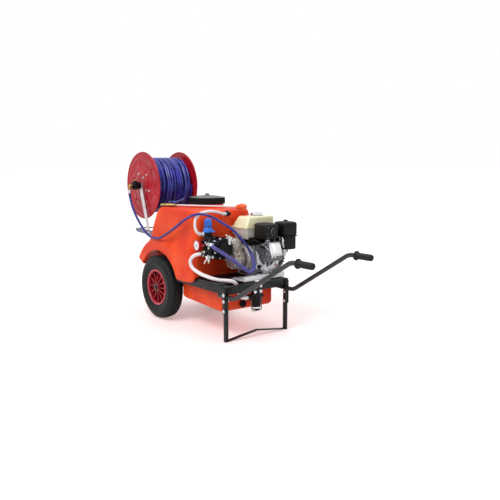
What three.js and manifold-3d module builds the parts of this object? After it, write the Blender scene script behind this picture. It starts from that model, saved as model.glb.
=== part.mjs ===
// A two-wheeled spray and fire-fighting cart: a moulded tank on a steel frame, a hose reel
// behind it, and a petrol engine driving a diaphragm pump on a deck in front of it.
// Millimetres, +Z up. While the pieces are made, X runs towards the handles with the axle
// at x = 0, left is -Y (the side of the pump), and the floor is z = 0. The last lines move
// the whole cart so that its origin is the middle of its footprint.
import * as THREE from 'three';
import { mergeVertices } from 'three/addons/utils/BufferGeometryUtils.js';
import Module from 'manifold-3d';

const wasm = await Module();
wasm.setup();

// ---------------------------------------------------------------- driving dimensions
const GAP = 0.3; // between pieces that touch
const RUNNING = 0.7; // between a shaft and a bore that turn on each other, both faceted
const SIDES = [['left', -1], ['right', 1]];

// wheels
const TYRE_RADIUS = 200;
const TYRE_WIDTH = 100;
const BEAD_RADIUS = 102;
const RIM_RADIUS = 113;
const RIM_WIDTH = 82;
const RIM_WALL = 4;
const SPOKES = 10;
const HUB_RADIUS = 24;
const AXLE_RADIUS = 10;
const TRACK_HALF = 208; // from the middle of the cart to the middle of a tyre
const AXLE_REACH = TRACK_HALF + 30;

// frame
const RAIL_HALF = 208; // from the middle of the cart to the middle of a rail
const RAIL_WIDTH = 40;
const RAIL_HEIGHT = 46;
const RAIL_TOP = 312;
const RAIL_REAR = 210;
const RAIL_FRONT = 722;
const BEAM = 40;
const ARM_HALF = 108;
const ARM_WIDTH = 30;
const ARM_REAR = -35;
const DECK_THICK = 6;
const DECK_REAR = 409;
const DECK_FRONT = 660;
const PLATE_THICK = 4;
const PLATE_REAR = 565;
const PLATE_FRONT = 690;
const PLATE_LEFT = -75;

// stand
const LEG_X = 708;
const LEG = 22; // along the cart
const LEG_DEPTH = 20; // across the cart
const HANDLE_HALF = 214; // from the middle of the cart to a handle's lower stretch
const STAND_PLATE = 6;
const STAND_PLATE_LOW = 160;
const STAND_PLATE_HIGH = 300;
const FOOT_THICK = 7;
const FOOT_RISE = 30;

// handles
const HANDLE_RADIUS = 12.5;
const HANDLE_REAR = 640;
const HANDLE_LOW_BEND = 782;
const HANDLE_HIGH_BEND = 1220;
const HANDLE_END = 1375;
const HANDLE_HEIGHT = 513;
const HANDLE_BEND = 28; // how far a bend reaches along each straight
const GRIP_HALF = 204;
const GRIP_LENGTH = 108;
const GRIP_RADIUS = 17;
const GRIP_FLANGE = 25;

// tank
const TANK_REAR = -150;
const TANK_FRONT = 405;
const TANK_TOP = 708;
const TANK_HALF = 207;
const SKIRT_HALF = 238;
const SKIRT_LOW = 290;
const WALL = 8;
const ARCH_X = 10;
const ARCH_Z = 205;
const ARCH_RADIUS = 232;
const FLARE_RADIUS = 305;
const WELL_HALF = 150;
const NECK_HALF = 183;
const SUMP_REAR = 205;
const SUMP_FRONT = 632;
const SUMP_LOW = 143;
const SUMP_TOP = 262;
const LID_X = 128;
const LID_Y = 62;
const LID_LOW = 726;
const LID_TOP = 780;
const LID_ROOF = LID_TOP - 12; // the lid's inner top, which rests on the filler neck
const MOUTH_RADIUS = 94;
const MOUTH_LIP = 103;
const LID_CLEARANCE = 7; // between the filler neck and the lid's skirt
const LID_WALL = 6;
const LID_RADIUS = MOUTH_LIP + LID_CLEARANCE + LID_WALL;

// reel
const REEL_X = -330;
const REEL_Z = 830;
const FLANGE_RADIUS = 224;
const FLANGE_THICK = 3;
const FLANGE_BEAD = 5;
const FLANGE_HALF = 143;
const DRUM_RADIUS = 62;
const WINDING_RADIUS = 187;
const SHAFT_RADIUS = 10;
const REEL_LEG_HALF = 165;
const REEL_LEG_THICK = 6;
const REEL_LEG_WIDTH = 34;
const REEL_BASE_TOP = 538;
const REEL_BASE_REAR = -410;
const REEL_FOOT_X = -222;
const CRANK_ARM = 150;
const CRANK_KNOB_LENGTH = 88;

// pump and gearbox
const CRANKSHAFT_X = 540;
const CRANKSHAFT_Z = 428;
const PUMP_X = 510;
const PUMP_Z = 500;
const PUMP_HALF_WIDTH = 80;
const PUMP_HEAD_RADIUS = 58;
const PUMP_MID_Y = -125;
const PUMP_DEPTH = 126;
const PUMP_BACK = -59;
const MANIFOLD_FRONT = -200;
const GAUGE_RADIUS = 32;

// engine
const ENGINE_LOW = 322.6;
const BLOCK_REAR = 468;
const BLOCK_FRONT = 640;
const BLOCK_LEFT = 45;
const BLOCK_RIGHT = 225;
const BLOCK_TOP = 500;
const HEAD_TILT = 0.32; // radians, the cylinder leans towards the handles and up
const HEAD_LEFT = 90;
const HEAD_RIGHT = 198;
const HEAD_REACH = 170;
const RECOIL_RADIUS = 94;
const RECOIL_DEPTH = 74;

// hoses, as outer radii
const DELIVERY_RADIUS = 7.5;
const SUCTION_RADIUS = 11;
const RETURN_RADIUS = 8.5;

// ---------------------------------------------------------------- materials
const finish = (color, roughness, metalness = 0) =>
  new THREE.MeshStandardMaterial({ color, roughness, metalness });
const MOULDED = finish('#e8461c', 0.5);
const STEEL = finish('#3c3f43', 0.5, 0.3);
const ALUMINIUM = finish('#c9ccd0', 0.4, 0.8);
const RUBBER = finish('#2b2e30', 0.85);
const RIM_RED = finish('#c01030', 0.4);
const REEL_RED = finish('#b3202e', 0.4, 0.2);
const BLACK = finish('#1c1e20', 0.5);
const BLUE = finish('#3b7fe0', 0.4);
const HOSE_BLUE = finish('#3a3aa0', 0.45);
const HOSE_WHITE = finish('#e9e2e4', 0.5);
const BRASS = finish('#c8a24a', 0.35, 0.9);
const CHROME = finish('#d8dadd', 0.2, 0.9);
const CREAM = finish('#f1ecd6', 0.4);
const WHITE = finish('#f5f5f5', 0.5);
const ORANGE = finish('#e85a12', 0.45);

// ---------------------------------------------------------------- geometry helpers
/** Keep only the corners, merge them, and turn the faces outwards. */
function closed(geometry) {
  const bare = geometry.clone();
  for (const name of ['normal', 'uv']) bare.deleteAttribute(name);
  const merged = mergeVertices(bare, 1e-3);
  const corner = merged.getAttribute('position');
  const index = Array.from(merged.index.array);
  const [a, b, c] = [new THREE.Vector3(), new THREE.Vector3(), new THREE.Vector3()];
  const kept = [];
  let volume = 0;
  for (let i = 0; i < index.length; i += 3) {
    const [p, q, r] = index.slice(i, i + 3);
    if (p === q || q === r || r === p) continue;
    kept.push(p, q, r);
    a.fromBufferAttribute(corner, p);
    b.fromBufferAttribute(corner, q);
    c.fromBufferAttribute(corner, r);
    volume += a.dot(b.cross(c));
  }
  merged.setIndex(volume < 0 ? kept.reverse() : kept);
  return merged;
}

function toSolid(geometry) {
  const merged = closed(geometry);
  return new wasm.Manifold(new wasm.Mesh({
    numProp: 3,
    vertProperties: new Float32Array(merged.getAttribute('position').array),
    triVerts: new Uint32Array(merged.index.array),
  }));
}

function toGeometry(solid) {
  const mesh = solid.getMesh();
  const geometry = new THREE.BufferGeometry();
  geometry.setAttribute('position', new THREE.BufferAttribute(mesh.vertProperties, 3));
  geometry.setIndex(Array.from(mesh.triVerts));
  return geometry;
}

/** One body made of overlapping shapes. */
function join(shapes) {
  return toGeometry(shapes.map(toSolid).reduce((whole, next) => whole.add(next)));
}

/** A body with other shapes taken away. */
function cut(shape, holes) {
  return toGeometry(holes.map(toSolid).reduce((whole, next) => whole.subtract(next), toSolid(shape)));
}

/** A box given by its limits. */
function box([x0, x1], [y0, y1], [z0, z1]) {
  const shape = new THREE.BoxGeometry(x1 - x0, y1 - y0, z1 - z0);
  return shape.translate((x0 + x1) / 2, (y0 + y1) / 2, (z0 + z1) / 2);
}

const UNIT = { x: new THREE.Vector3(1, 0, 0), y: new THREE.Vector3(0, 1, 0), z: new THREE.Vector3(0, 0, 1) };

/** Turn a shape made about Y so that its axis points along x, y or z, and move it. */
function along(shape, axis, [x, y, z]) {
  const turn = new THREE.Quaternion().setFromUnitVectors(UNIT.y, UNIT[axis]);
  return shape.applyQuaternion(turn).translate(x, y, z);
}

/** A round bar from one point along x, y or z, for a length. */
function bar(axis, radius, [x, y, z], length, sides = 12) {
  const middle = UNIT[axis].clone().multiplyScalar(length / 2);
  return along(new THREE.CylinderGeometry(radius, radius, Math.abs(length), sides), axis,
    [x + middle.x, y + middle.y, z + middle.z]);
}

/** A turned piece: its profile is a closed list of [radius, distance along the axis]. */
function turned(axis, profile, at, sides = 24) {
  const points = profile.map(([radius, along]) => new THREE.Vector2(radius, along));
  return along(new THREE.LatheGeometry(points, sides), axis, at);
}

/** A solid disc or plug: the profile starts and ends on the axis. */
function turnedSolid(axis, profile, at, sides = 20) {
  const [first, last] = [profile[0][1], profile[profile.length - 1][1]];
  return turned(axis, [[0, first], ...profile, [0, last]], at, sides);
}

/** A tube between radii, as a closed ring. */
function ring(axis, inner, outer, from, to, at, sides = 24) {
  return turned(axis, [[inner, from], [outer, from], [outer, to], [inner, to], [inner, from]], at, sides);
}

/** A side outline, as [x, z] points, extruded from y0 to y1 with its edges eased. */
function sideways(outline, y0, y1, ease = 0) {
  const shape = outline instanceof THREE.Shape ? outline
    : new THREE.Shape(outline.map(([x, z]) => new THREE.Vector2(x, z)));
  const solid = new THREE.ExtrudeGeometry(shape, {
    depth: y1 - y0 - 2 * ease,
    bevelEnabled: ease > 0,
    bevelThickness: ease,
    bevelSize: ease,
    bevelOffset: -ease,
    bevelSegments: 1,
    curveSegments: 12,
  });
  return solid.rotateX(Math.PI / 2).translate(0, y1 - ease, 0);
}

/** A round-cornered rectangle in X and Y at one height, as a list of points. */
function ringPoints([x0, x1], [y0, y1], radius, z, perCorner = 3) {
  const corners = [[x1, y1, 0], [x0, y1, 1], [x0, y0, 2], [x1, y0, 3]];
  const points = [];
  for (const [x, y, quarter] of corners) {
    const cx = x - radius * (quarter === 0 || quarter === 3 ? 1 : -1);
    const cy = y - radius * (quarter < 2 ? 1 : -1);
    for (let i = 0; i <= perCorner; i += 1) {
      const angle = (quarter + i / perCorner) * Math.PI / 2;
      points.push([cx + radius * Math.cos(angle), cy + radius * Math.sin(angle), z]);
    }
  }
  return points;
}

/** A moulded box: round-cornered rectangles at rising heights, skinned into one body. */
function moulded(levels) {
  const rings = levels.map(([z, xs, ys, radius]) => ringPoints(xs, ys, radius, z));
  const count = rings[0].length;
  const corners = rings.flat(2);
  const index = [];
  for (let level = 0; level + 1 < rings.length; level += 1) {
    for (let i = 0; i < count; i += 1) {
      const [a, b] = [level * count + i, level * count + (i + 1) % count];
      index.push(a, b, b + count, a, b + count, a + count);
    }
  }
  const top = (rings.length - 1) * count;
  for (let i = 1; i + 1 < count; i += 1) {
    index.push(0, i + 1, i);
    index.push(top, top + i, top + i + 1);
  }
  const geometry = new THREE.BufferGeometry();
  geometry.setAttribute('position', new THREE.BufferAttribute(new Float32Array(corners), 3));
  geometry.setIndex(index);
  return geometry;
}

const vectors = (points) => points.map(([x, y, z]) => new THREE.Vector3(x, y, z));

/** A round tube swept along a curve. */
function swept(curve, radius, sides, steps) {
  const section = new THREE.Shape(Array.from({ length: sides }, (_, i) => {
    const angle = 2 * Math.PI * i / sides;
    return new THREE.Vector2(radius * Math.cos(angle), radius * Math.sin(angle));
  }));
  return new THREE.ExtrudeGeometry(section, { steps, bevelEnabled: false, extrudePath: curve });
}

/** A line of straight stretches with a bend of one reach at every inner corner. */
function bent(points, reach) {
  const corners = vectors(points);
  const path = new THREE.CurvePath();
  let start = corners[0];
  for (let i = 1; i + 1 < corners.length; i += 1) {
    const before = corners[i].clone().add(corners[i - 1].clone().sub(corners[i]).setLength(reach));
    const after = corners[i].clone().add(corners[i + 1].clone().sub(corners[i]).setLength(reach));
    path.add(new THREE.LineCurve3(start, before));
    path.add(new THREE.QuadraticBezierCurve3(before, corners[i], after));
    start = after;
  }
  path.add(new THREE.LineCurve3(start, corners[corners.length - 1]));
  return path;
}

const cart = new THREE.Group();

function add(name, material, geometry) {
  const mesh = new THREE.Mesh(closed(geometry), material);
  mesh.name = name;
  cart.add(mesh);
}

// ---------------------------------------------------------------- frame
const RAIL_LOW = RAIL_TOP - RAIL_HEIGHT;
const RAIL_INNER = RAIL_HALF - RAIL_WIDTH / 2;
const RAIL_OUTER = RAIL_HALF + RAIL_WIDTH / 2;
const DECK_TOP = RAIL_TOP + GAP + DECK_THICK;
const PLATE_TOP = DECK_TOP + GAP + PLATE_THICK;

function rail(side) {
  return box([RAIL_REAR, RAIL_FRONT], [side * RAIL_HALF - RAIL_WIDTH / 2, side * RAIL_HALF + RAIL_WIDTH / 2],
    [RAIL_LOW, RAIL_TOP]);
}

/** Rear cross member, two arms and the axle beam with its stub axles, welded together. */
function axleCarrier() {
  const pieces = [
    box([RAIL_REAR, RAIL_REAR + BEAM - 5], [-RAIL_INNER + GAP, RAIL_INNER - GAP], [RAIL_LOW, RAIL_TOP]),
    box([-BEAM / 2, BEAM / 2], [-WELL_HALF + 2, WELL_HALF - 2],
      [TYRE_RADIUS - BEAM / 2, TYRE_RADIUS + BEAM / 2]),
    bar('y', AXLE_RADIUS, [0, -AXLE_REACH, TYRE_RADIUS], 2 * AXLE_REACH),
  ];
  for (const [, side] of SIDES) {
    const across = [side * ARM_HALF - ARM_WIDTH / 2, side * ARM_HALF + ARM_WIDTH / 2];
    pieces.push(box([ARM_REAR, RAIL_REAR + 1], across, [RAIL_LOW, RAIL_TOP]));
    pieces.push(box([ARM_REAR, -ARM_REAR], across, [TYRE_RADIUS - BEAM / 2 - 4, RAIL_LOW + 1]));
  }
  return join(pieces);
}

function frontCrossmember() {
  return box([RAIL_FRONT - 30, RAIL_FRONT], [-RAIL_INNER + GAP, RAIL_INNER - GAP], [RAIL_LOW, RAIL_TOP]);
}

/** Dark deck with the raised strip that the engine's rear feet stand on. */
function deckPlate() {
  return join([
    box([DECK_REAR, DECK_FRONT], [-RAIL_OUTER, RAIL_OUTER], [RAIL_TOP + GAP, DECK_TOP]),
    box([BLOCK_REAR, PLATE_REAR - 5], [BLOCK_LEFT - 5, BLOCK_RIGHT - 5], [DECK_TOP - 1, PLATE_TOP]),
  ]);
}

function enginePlate() {
  return box([PLATE_REAR, PLATE_FRONT], [PLATE_LEFT, RAIL_OUTER], [DECK_TOP + GAP, PLATE_TOP]);
}

const HANDLE_LOW = RAIL_LOW - GAP - HANDLE_RADIUS;
const LEG_TOP = HANDLE_LOW - HANDLE_RADIUS - GAP;

/** Two legs with their bolting plates, joined by a foot bar that is raised in the middle. */
function stand() {
  const pieces = [sideFootBar()];
  for (const [, side] of SIDES) {
    const outer = side * RAIL_OUTER;
    const inner = outer - side * LEG_DEPTH;
    const plateInner = side * (RAIL_OUTER + GAP);
    const plateOuter = side * (RAIL_OUTER + GAP + STAND_PLATE);
    const span = (a, b) => [Math.min(a, b), Math.max(a, b)];
    pieces.push(box([LEG_X - LEG / 2, LEG_X + LEG / 2], span(inner, outer), [0, LEG_TOP]));
    pieces.push(box([LEG_X - LEG / 2, LEG_X + LEG / 2], span(plateInner, plateOuter),
      [STAND_PLATE_LOW, STAND_PLATE_HIGH]));
    pieces.push(box([LEG_X - LEG / 2 + 2, LEG_X + LEG / 2 - 2], span(outer - side * 2, plateInner + side),
      [STAND_PLATE_LOW + 2, LEG_TOP - 2]));
  }
  return join(pieces);
}

function sideFootBar() {
  const end = RAIL_OUTER - LEG_DEPTH / 2;
  const outline = [[-end, 0], [-end, FOOT_THICK], [0, FOOT_RISE + FOOT_THICK], [end, FOOT_THICK], [end, 0],
    [0, FOOT_RISE]];
  const foot = sideways(outline, -LEG / 2, LEG / 2);
  return foot.rotateZ(Math.PI / 2).translate(LEG_X, 0, 0);
}

function handle(side) {
  const path = bent([
    [HANDLE_REAR, side * HANDLE_HALF, HANDLE_LOW],
    [HANDLE_LOW_BEND, side * HANDLE_HALF, HANDLE_LOW],
    [HANDLE_HIGH_BEND, side * GRIP_HALF, HANDLE_HEIGHT],
    [HANDLE_END - 5, side * GRIP_HALF, HANDLE_HEIGHT],
  ], HANDLE_BEND);
  return swept(path, HANDLE_RADIUS, 10, 24);
}

/** A rubber grip: a sleeve with a flange at its inner end and a closed outer end. */
function grip(side) {
  const start = HANDLE_END - GRIP_LENGTH;
  const bore = HANDLE_RADIUS + GAP + 0.2;
  return turned('x', [
    [bore, 0], [GRIP_FLANGE, 0], [GRIP_FLANGE, 8], [GRIP_RADIUS, 12], [GRIP_RADIUS, GRIP_LENGTH - 4],
    [GRIP_RADIUS - 4, GRIP_LENGTH], [0, GRIP_LENGTH], [0, GRIP_LENGTH - 5 + GAP],
    [bore, GRIP_LENGTH - 5 + GAP], [bore, 0],
  ], [start, side * GRIP_HALF, HANDLE_HEIGHT], 20);
}

// ---------------------------------------------------------------- wheels
function tyre(side) {
  const half = TYRE_WIDTH / 2;
  const bead = RIM_WIDTH / 2 - RIM_WALL - GAP;
  const section = [
    [BEAD_RADIUS, -bead], [RIM_RADIUS + 4, -bead], [150, -half], [178, -half + 4], [196, -half + 14],
    [TYRE_RADIUS, -half + 30], [TYRE_RADIUS, half - 30], [196, half - 14], [178, half - 4], [150, half],
    [RIM_RADIUS + 4, bead], [BEAD_RADIUS, bead], [BEAD_RADIUS, -bead],
  ];
  return turned('y', section, [0, side * TRACK_HALF, TYRE_RADIUS], 28);
}

/** A pressed rim: the flanged ring, ten spokes and the hub that turns on the stub axle. */
function rim(side) {
  const half = RIM_WIDTH / 2;
  const well = BEAD_RADIUS - GAP;
  const at = [0, side * TRACK_HALF, TYRE_RADIUS];
  const hubInner = -half + 4;
  const hubOuter = AXLE_REACH - TRACK_HALF + 12;
  const pieces = [
    turned('y', [
      [well - RIM_WALL, -half], [RIM_RADIUS, -half], [RIM_RADIUS, -half + RIM_WALL],
      [well, -half + RIM_WALL], [well, half - RIM_WALL], [RIM_RADIUS, half - RIM_WALL], [RIM_RADIUS, half],
      [well - RIM_WALL, half], [well - RIM_WALL, -half],
    ], at, 28),
    turned('y', [
      [AXLE_RADIUS + RUNNING, side * hubInner], [HUB_RADIUS, side * hubInner],
      [HUB_RADIUS, side * (hubOuter - 6)], [HUB_RADIUS - 6, side * hubOuter],
      [0, side * hubOuter], [0, side * (hubOuter - 8)],
      [AXLE_RADIUS + RUNNING, side * (hubOuter - 8)], [AXLE_RADIUS + RUNNING, side * hubInner],
    ], at, 12),
    ring('y', HUB_RADIUS - 6, well - 2, side * 4, side * 9, at, 28),
  ];
  for (let i = 0; i < SPOKES; i += 1) {
    const spoke = box([HUB_RADIUS - 4, well - 2], side > 0 ? [6, 26] : [-26, -6], [-6, 6]);
    pieces.push(spoke.rotateY(2 * Math.PI * i / SPOKES).translate(...at));
  }
  return join(pieces);
}

// ---------------------------------------------------------------- tank
const TANK_LEVELS = [
  [SKIRT_LOW, TANK_REAR, TANK_FRONT, SKIRT_HALF, 35],
  [425, TANK_REAR, TANK_FRONT, SKIRT_HALF, 40],
  [475, TANK_REAR, TANK_FRONT, SKIRT_HALF - 10, 45],
  [522, TANK_REAR, TANK_FRONT, TANK_HALF + 3, 45],
  [560, TANK_REAR + 12, TANK_FRONT + 1, TANK_HALF, 45],
  [600, TANK_REAR + 33, TANK_FRONT + 3, TANK_HALF, 45],
  [660, TANK_REAR + 65, TANK_FRONT + 5, TANK_HALF, 48],
  [690, TANK_REAR + 92, TANK_FRONT - 3, TANK_HALF, 50],
  [TANK_TOP - 5, TANK_REAR + 110, TANK_FRONT - 20, TANK_HALF - 4, 48],
  [TANK_TOP, TANK_REAR + 128, TANK_FRONT - 40, TANK_HALF - 12, 42],
];

/** The flared lip around a wheel, as a ring sector seen from the side. */
function flareOutline() {
  const [front, rear] = [0.30, 2.62];
  const outline = new THREE.Shape();
  outline.absarc(ARCH_X, ARCH_Z, FLARE_RADIUS, front, rear, false);
  outline.absarc(ARCH_X, ARCH_Z, ARCH_RADIUS - 4, rear, front, true);
  return outline;
}

function sumpOutline(inset) {
  const [rear, front] = [SUMP_REAR + inset, SUMP_FRONT - inset];
  const [low, top] = [SUMP_LOW + inset, SUMP_TOP - inset];
  return [
    [rear, top], [rear, low + 34], [rear + 18, low + 20], [front - 24, low], [front, low + 16], [front, top],
  ];
}

/** The hollow inside of the tank: above the wheels, between them, and in the sump. */
function tankHollow() {
  const upper = TANK_LEVELS.slice(3).map(([z, x0, x1, half, radius]) =>
    [z, [x0 + WALL, x1 - WALL], [-half + WALL, half - WALL], radius - WALL]);
  upper[0][0] = ARCH_Z + ARCH_RADIUS + WALL;
  upper[upper.length - 2][0] -= WALL;
  upper[upper.length - 1][0] -= WALL;
  const middleHalf = WELL_HALF - WALL;
  return [
    moulded(upper),
    box([TANK_REAR + WALL, TANK_FRONT - WALL], [-middleHalf, middleHalf],
      [RAIL_TOP + 4 + WALL, ARCH_Z + ARCH_RADIUS + WALL + 5]),
    box([RAIL_REAR + BEAM + WALL, TANK_FRONT - WALL], [-NECK_HALF + WALL, NECK_HALF - WALL],
      [SUMP_TOP - WALL - 5, RAIL_TOP + 20]),
    sideways(sumpOutline(WALL), -NECK_HALF + WALL, NECK_HALF - WALL),
  ];
}

/** The one-piece moulding: body, wheel flares, neck between the rails, sump and filler neck. */
function tankBody() {
  const outer = [
    moulded(TANK_LEVELS.map(([z, x0, x1, half, radius]) => [z, [x0, x1], [-half, half], radius])),
  ];
  const wells = [];
  for (const [, side] of SIDES) {
    const [near, far] = side > 0 ? [WELL_HALF, SKIRT_HALF] : [-SKIRT_HALF, -WELL_HALF];
    outer.push(sideways(flareOutline(), near, far, 8));
    const start = side > 0 ? WELL_HALF : -WELL_HALF - 200;
    wells.push(bar('y', ARCH_RADIUS, [ARCH_X, start, ARCH_Z], 200, 36));
    const rails = [side * RAIL_HALF - RAIL_WIDTH / 2 - 0.5, side * RAIL_HALF + RAIL_WIDTH / 2 + 0.5];
    wells.push(box([RAIL_REAR - 2, RAIL_FRONT], rails, [RAIL_LOW - 5, RAIL_TOP + 0.5]));
  }
  wells.push(box([TANK_REAR - 5, RAIL_REAR + BEAM - 2], [-RAIL_INNER, RAIL_INNER],
    [RAIL_LOW - 5, RAIL_TOP + 4]));
  const body = cut(join(outer), wells);
  const whole = join([
    body,
    box([RAIL_REAR + BEAM, TANK_FRONT], [-NECK_HALF, NECK_HALF], [SUMP_TOP - 4, RAIL_TOP + 10]),
    sideways(sumpOutline(0), -NECK_HALF, NECK_HALF, 9),
    bar('z', MOUTH_LIP, [LID_X, LID_Y, TANK_TOP - WALL], LID_ROOF - GAP - TANK_TOP + WALL, 28),
  ]);
  const mouth = bar('z', MOUTH_RADIUS, [LID_X, LID_Y, TANK_TOP - 2 * WALL - 10], LID_TOP - TANK_TOP + 20, 28);
  return cut(whole, [...tankHollow(), mouth]);
}

/** A cup-shaped screw lid that drops over the filler neck. */
function tankLid() {
  const inner = LID_RADIUS - LID_WALL;
  return turned('z', [
    [0, LID_ROOF], [inner, LID_ROOF], [inner, LID_LOW], [LID_RADIUS, LID_LOW], [LID_RADIUS, LID_TOP - 9],
    [LID_RADIUS - 7, LID_TOP - 2], [LID_RADIUS - 26, LID_TOP], [0, LID_TOP],
  ], [LID_X, LID_Y, 0], 32);
}

function lidVent() {
  return turnedSolid('z', [[13, LID_TOP + GAP], [13, LID_TOP + 9], [9, LID_TOP + 13]], [LID_X, LID_Y, 0], 16);
}

const DRAIN_Y = -46;
const DRAIN_Z = SUMP_LOW + 37;

function drainPlug() {
  const face = SUMP_FRONT + GAP;
  return turnedSolid('x', [[22, face], [22, face + 8], [14, face + 8], [14, face + 20]],
    [0, DRAIN_Y, DRAIN_Z], 16);
}

const ELBOW_X = 445;
const ELBOW_Y = 8;
const ELBOW_Z = 684;

/** The fitting high on the tank's front that the return hose ends in. */
function returnElbow() {
  return join([
    bar('x', 17, [TANK_FRONT + 5 + GAP, ELBOW_Y, ELBOW_Z], 9),
    bar('x', 11, [TANK_FRONT + 8, ELBOW_Y, ELBOW_Z], ELBOW_X - TANK_FRONT - 8),
    new THREE.SphereGeometry(11.5, 10, 6).translate(ELBOW_X, ELBOW_Y, ELBOW_Z),
    bar('y', 10, [ELBOW_X, ELBOW_Y, ELBOW_Z], -30),
  ]);
}

// ---------------------------------------------------------------- suction filter
const FILTER_X = 702;
const FILTER_SPLIT = 205;
const FILTER_LOW = 150;
const BAIL_Z = 230; // the bail swings about the filter's cross axis at this height
const BAIL_HALF = 36;
const BAIL_WIRE = 2.5;
const FILTER_BOSS = 13;
const BOWL_FLAT = 14; // radius of the bowl's flat bottom, inside the sweep of the bail

function filterHead() {
  return join([
    box([FILTER_X - 24, FILTER_X + 18], [-34, 34], [RAIL_LOW - 12, RAIL_LOW - GAP]),
    turnedSolid('z', [[31, FILTER_SPLIT], [31, RAIL_LOW - 20], [22, RAIL_LOW - 8]], [FILTER_X, 0, 0], 24),
    bar('y', FILTER_BOSS, [FILTER_X, 0, BAIL_Z], -62),
    bar('y', FILTER_BOSS, [FILTER_X, 0, BAIL_Z], 45),
  ]);
}

function filterBowl() {
  return turnedSolid('z', [[BOWL_FLAT, FILTER_LOW], [25, FILTER_LOW + 7], [25, FILTER_SPLIT - 12],
    [28, FILTER_SPLIT - 10], [28, FILTER_SPLIT - GAP]], [FILTER_X, 0, 0], 24);
}

/** The wire that holds the bowl up: it swings forward about the filter's cross axis. */
function filterBail() {
  const reach = FILTER_X + FILTER_BOSS + BAIL_WIRE + 1.7;
  const [low, high] = [FILTER_LOW - 4, BAIL_Z + 10];
  return swept(bent([
    [reach, -BAIL_HALF, high], [FILTER_X + 6, -BAIL_HALF, low],
    [FILTER_X + 6, BAIL_HALF, low], [reach, BAIL_HALF, high],
  ], 10), BAIL_WIRE, 6, 18);
}

// ---------------------------------------------------------------- reel
function reelFlange(side) {
  const at = [REEL_X, side * FLANGE_HALF, REEL_Z];
  const half = FLANGE_THICK / 2;
  return turned('y', [
    [SHAFT_RADIUS + GAP, -half], [FLANGE_RADIUS - 2 * FLANGE_BEAD, -half],
    [FLANGE_RADIUS - FLANGE_BEAD, -FLANGE_BEAD], [FLANGE_RADIUS, 0],
    [FLANGE_RADIUS - FLANGE_BEAD, FLANGE_BEAD],
    [FLANGE_RADIUS - 2 * FLANGE_BEAD, half], [SHAFT_RADIUS + GAP, half], [SHAFT_RADIUS + GAP, -half],
  ], at, 36);
}

const DRUM_HALF = FLANGE_HALF - FLANGE_THICK / 2 - GAP;

function reelDrum() {
  return ring('y', SHAFT_RADIUS + GAP, DRUM_RADIUS, -DRUM_HALF, DRUM_HALF, [REEL_X, 0, REEL_Z], 24);
}

const SWIVEL_INNER = REEL_LEG_HALF + REEL_LEG_THICK / 2 + GAP;
const SWIVEL_OUTER = 231;
const CRANK_FACE = REEL_LEG_HALF + 19;

function reelShaft() {
  return bar('y', SHAFT_RADIUS, [REEL_X, -SWIVEL_OUTER + 8, REEL_Z], SWIVEL_OUTER - 8 + CRANK_FACE - GAP);
}

/** Black housing of the swivel that feeds the turning reel. */
function swivelBody() {
  const bore = SHAFT_RADIUS + RUNNING;
  return turned('y', [
    [bore, SWIVEL_INNER], [20, SWIVEL_INNER], [20, SWIVEL_INNER + 14], [15, SWIVEL_INNER + 17],
    [15, SWIVEL_OUTER - 14], [18, SWIVEL_OUTER - 12], [18, SWIVEL_OUTER], [0, SWIVEL_OUTER],
    [0, SWIVEL_OUTER - 6],
    [bore, SWIVEL_OUTER - 6], [bore, SWIVEL_INNER],
  ].map(([radius, y]) => [radius, -y]), [REEL_X, 0, REEL_Z], 20);
}

const SWIVEL_TIP_Y = -245;
const SWIVEL_DROP = 26;

function swivelElbow() {
  return join([
    bar('y', 9, [REEL_X, -SWIVEL_OUTER - GAP, REEL_Z], SWIVEL_TIP_Y + SWIVEL_OUTER + GAP),
    new THREE.SphereGeometry(9.4, 10, 6).translate(REEL_X, SWIVEL_TIP_Y, REEL_Z),
    bar('z', 8, [REEL_X, SWIVEL_TIP_Y, REEL_Z], -SWIVEL_DROP),
  ]);
}

/** Base bars bolted to the tank's rear wall and the two legs that carry the reel's shaft. */
function reelCarrier() {
  const low = REEL_BASE_TOP - 30;
  const wall = TANK_REAR - GAP;
  const outer = REEL_LEG_HALF + REEL_LEG_THICK / 2;
  const pieces = [
    box([wall - 6, wall], [-outer, outer], [low - 40, REEL_BASE_TOP - 16]),
    box([REEL_BASE_REAR, REEL_BASE_REAR + 26], [-outer, outer], [REEL_BASE_TOP - 6, REEL_BASE_TOP]),
    box([wall - 32, wall], [-outer, outer], [low - 6, low]),
  ];
  for (const [, side] of SIDES) {
    const [y0, y1] = [side * REEL_LEG_HALF - REEL_LEG_THICK / 2, side * REEL_LEG_HALF + REEL_LEG_THICK / 2];
    pieces.push(box([REEL_BASE_REAR, wall - 5], [y0, y1], [REEL_BASE_TOP - 30, REEL_BASE_TOP]));
    const half = REEL_LEG_WIDTH / 2;
    pieces.push(sideways([
      [REEL_FOOT_X - half, low], [REEL_FOOT_X + half, low], [REEL_X + half, REEL_Z], [REEL_X - half, REEL_Z],
    ], y0, y1));
    pieces.push(bar('y', REEL_LEG_WIDTH / 2, [REEL_X, y0, REEL_Z], REEL_LEG_THICK, 24));
  }
  const bore = bar('y', SHAFT_RADIUS + RUNNING, [REEL_X, -200, REEL_Z], 400);
  return cut(join(pieces), [bore]);
}

/** Crank that hangs from the far end of the shaft, with the pin that its knob turns on. */
function reelCrank() {
  const at = CRANK_FACE;
  return join([
    bar('y', 20, [REEL_X, at, REEL_Z], 14),
    sideways([[REEL_X - 9, REEL_Z - CRANK_ARM], [REEL_X + 9, REEL_Z - CRANK_ARM], [REEL_X + 11, REEL_Z],
      [REEL_X - 11, REEL_Z]], at + 4, at + 10),
    bar('y', 5, [REEL_X, at + 4, REEL_Z - CRANK_ARM + 12], CRANK_KNOB_LENGTH + 8, 12),
  ]);
}

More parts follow.
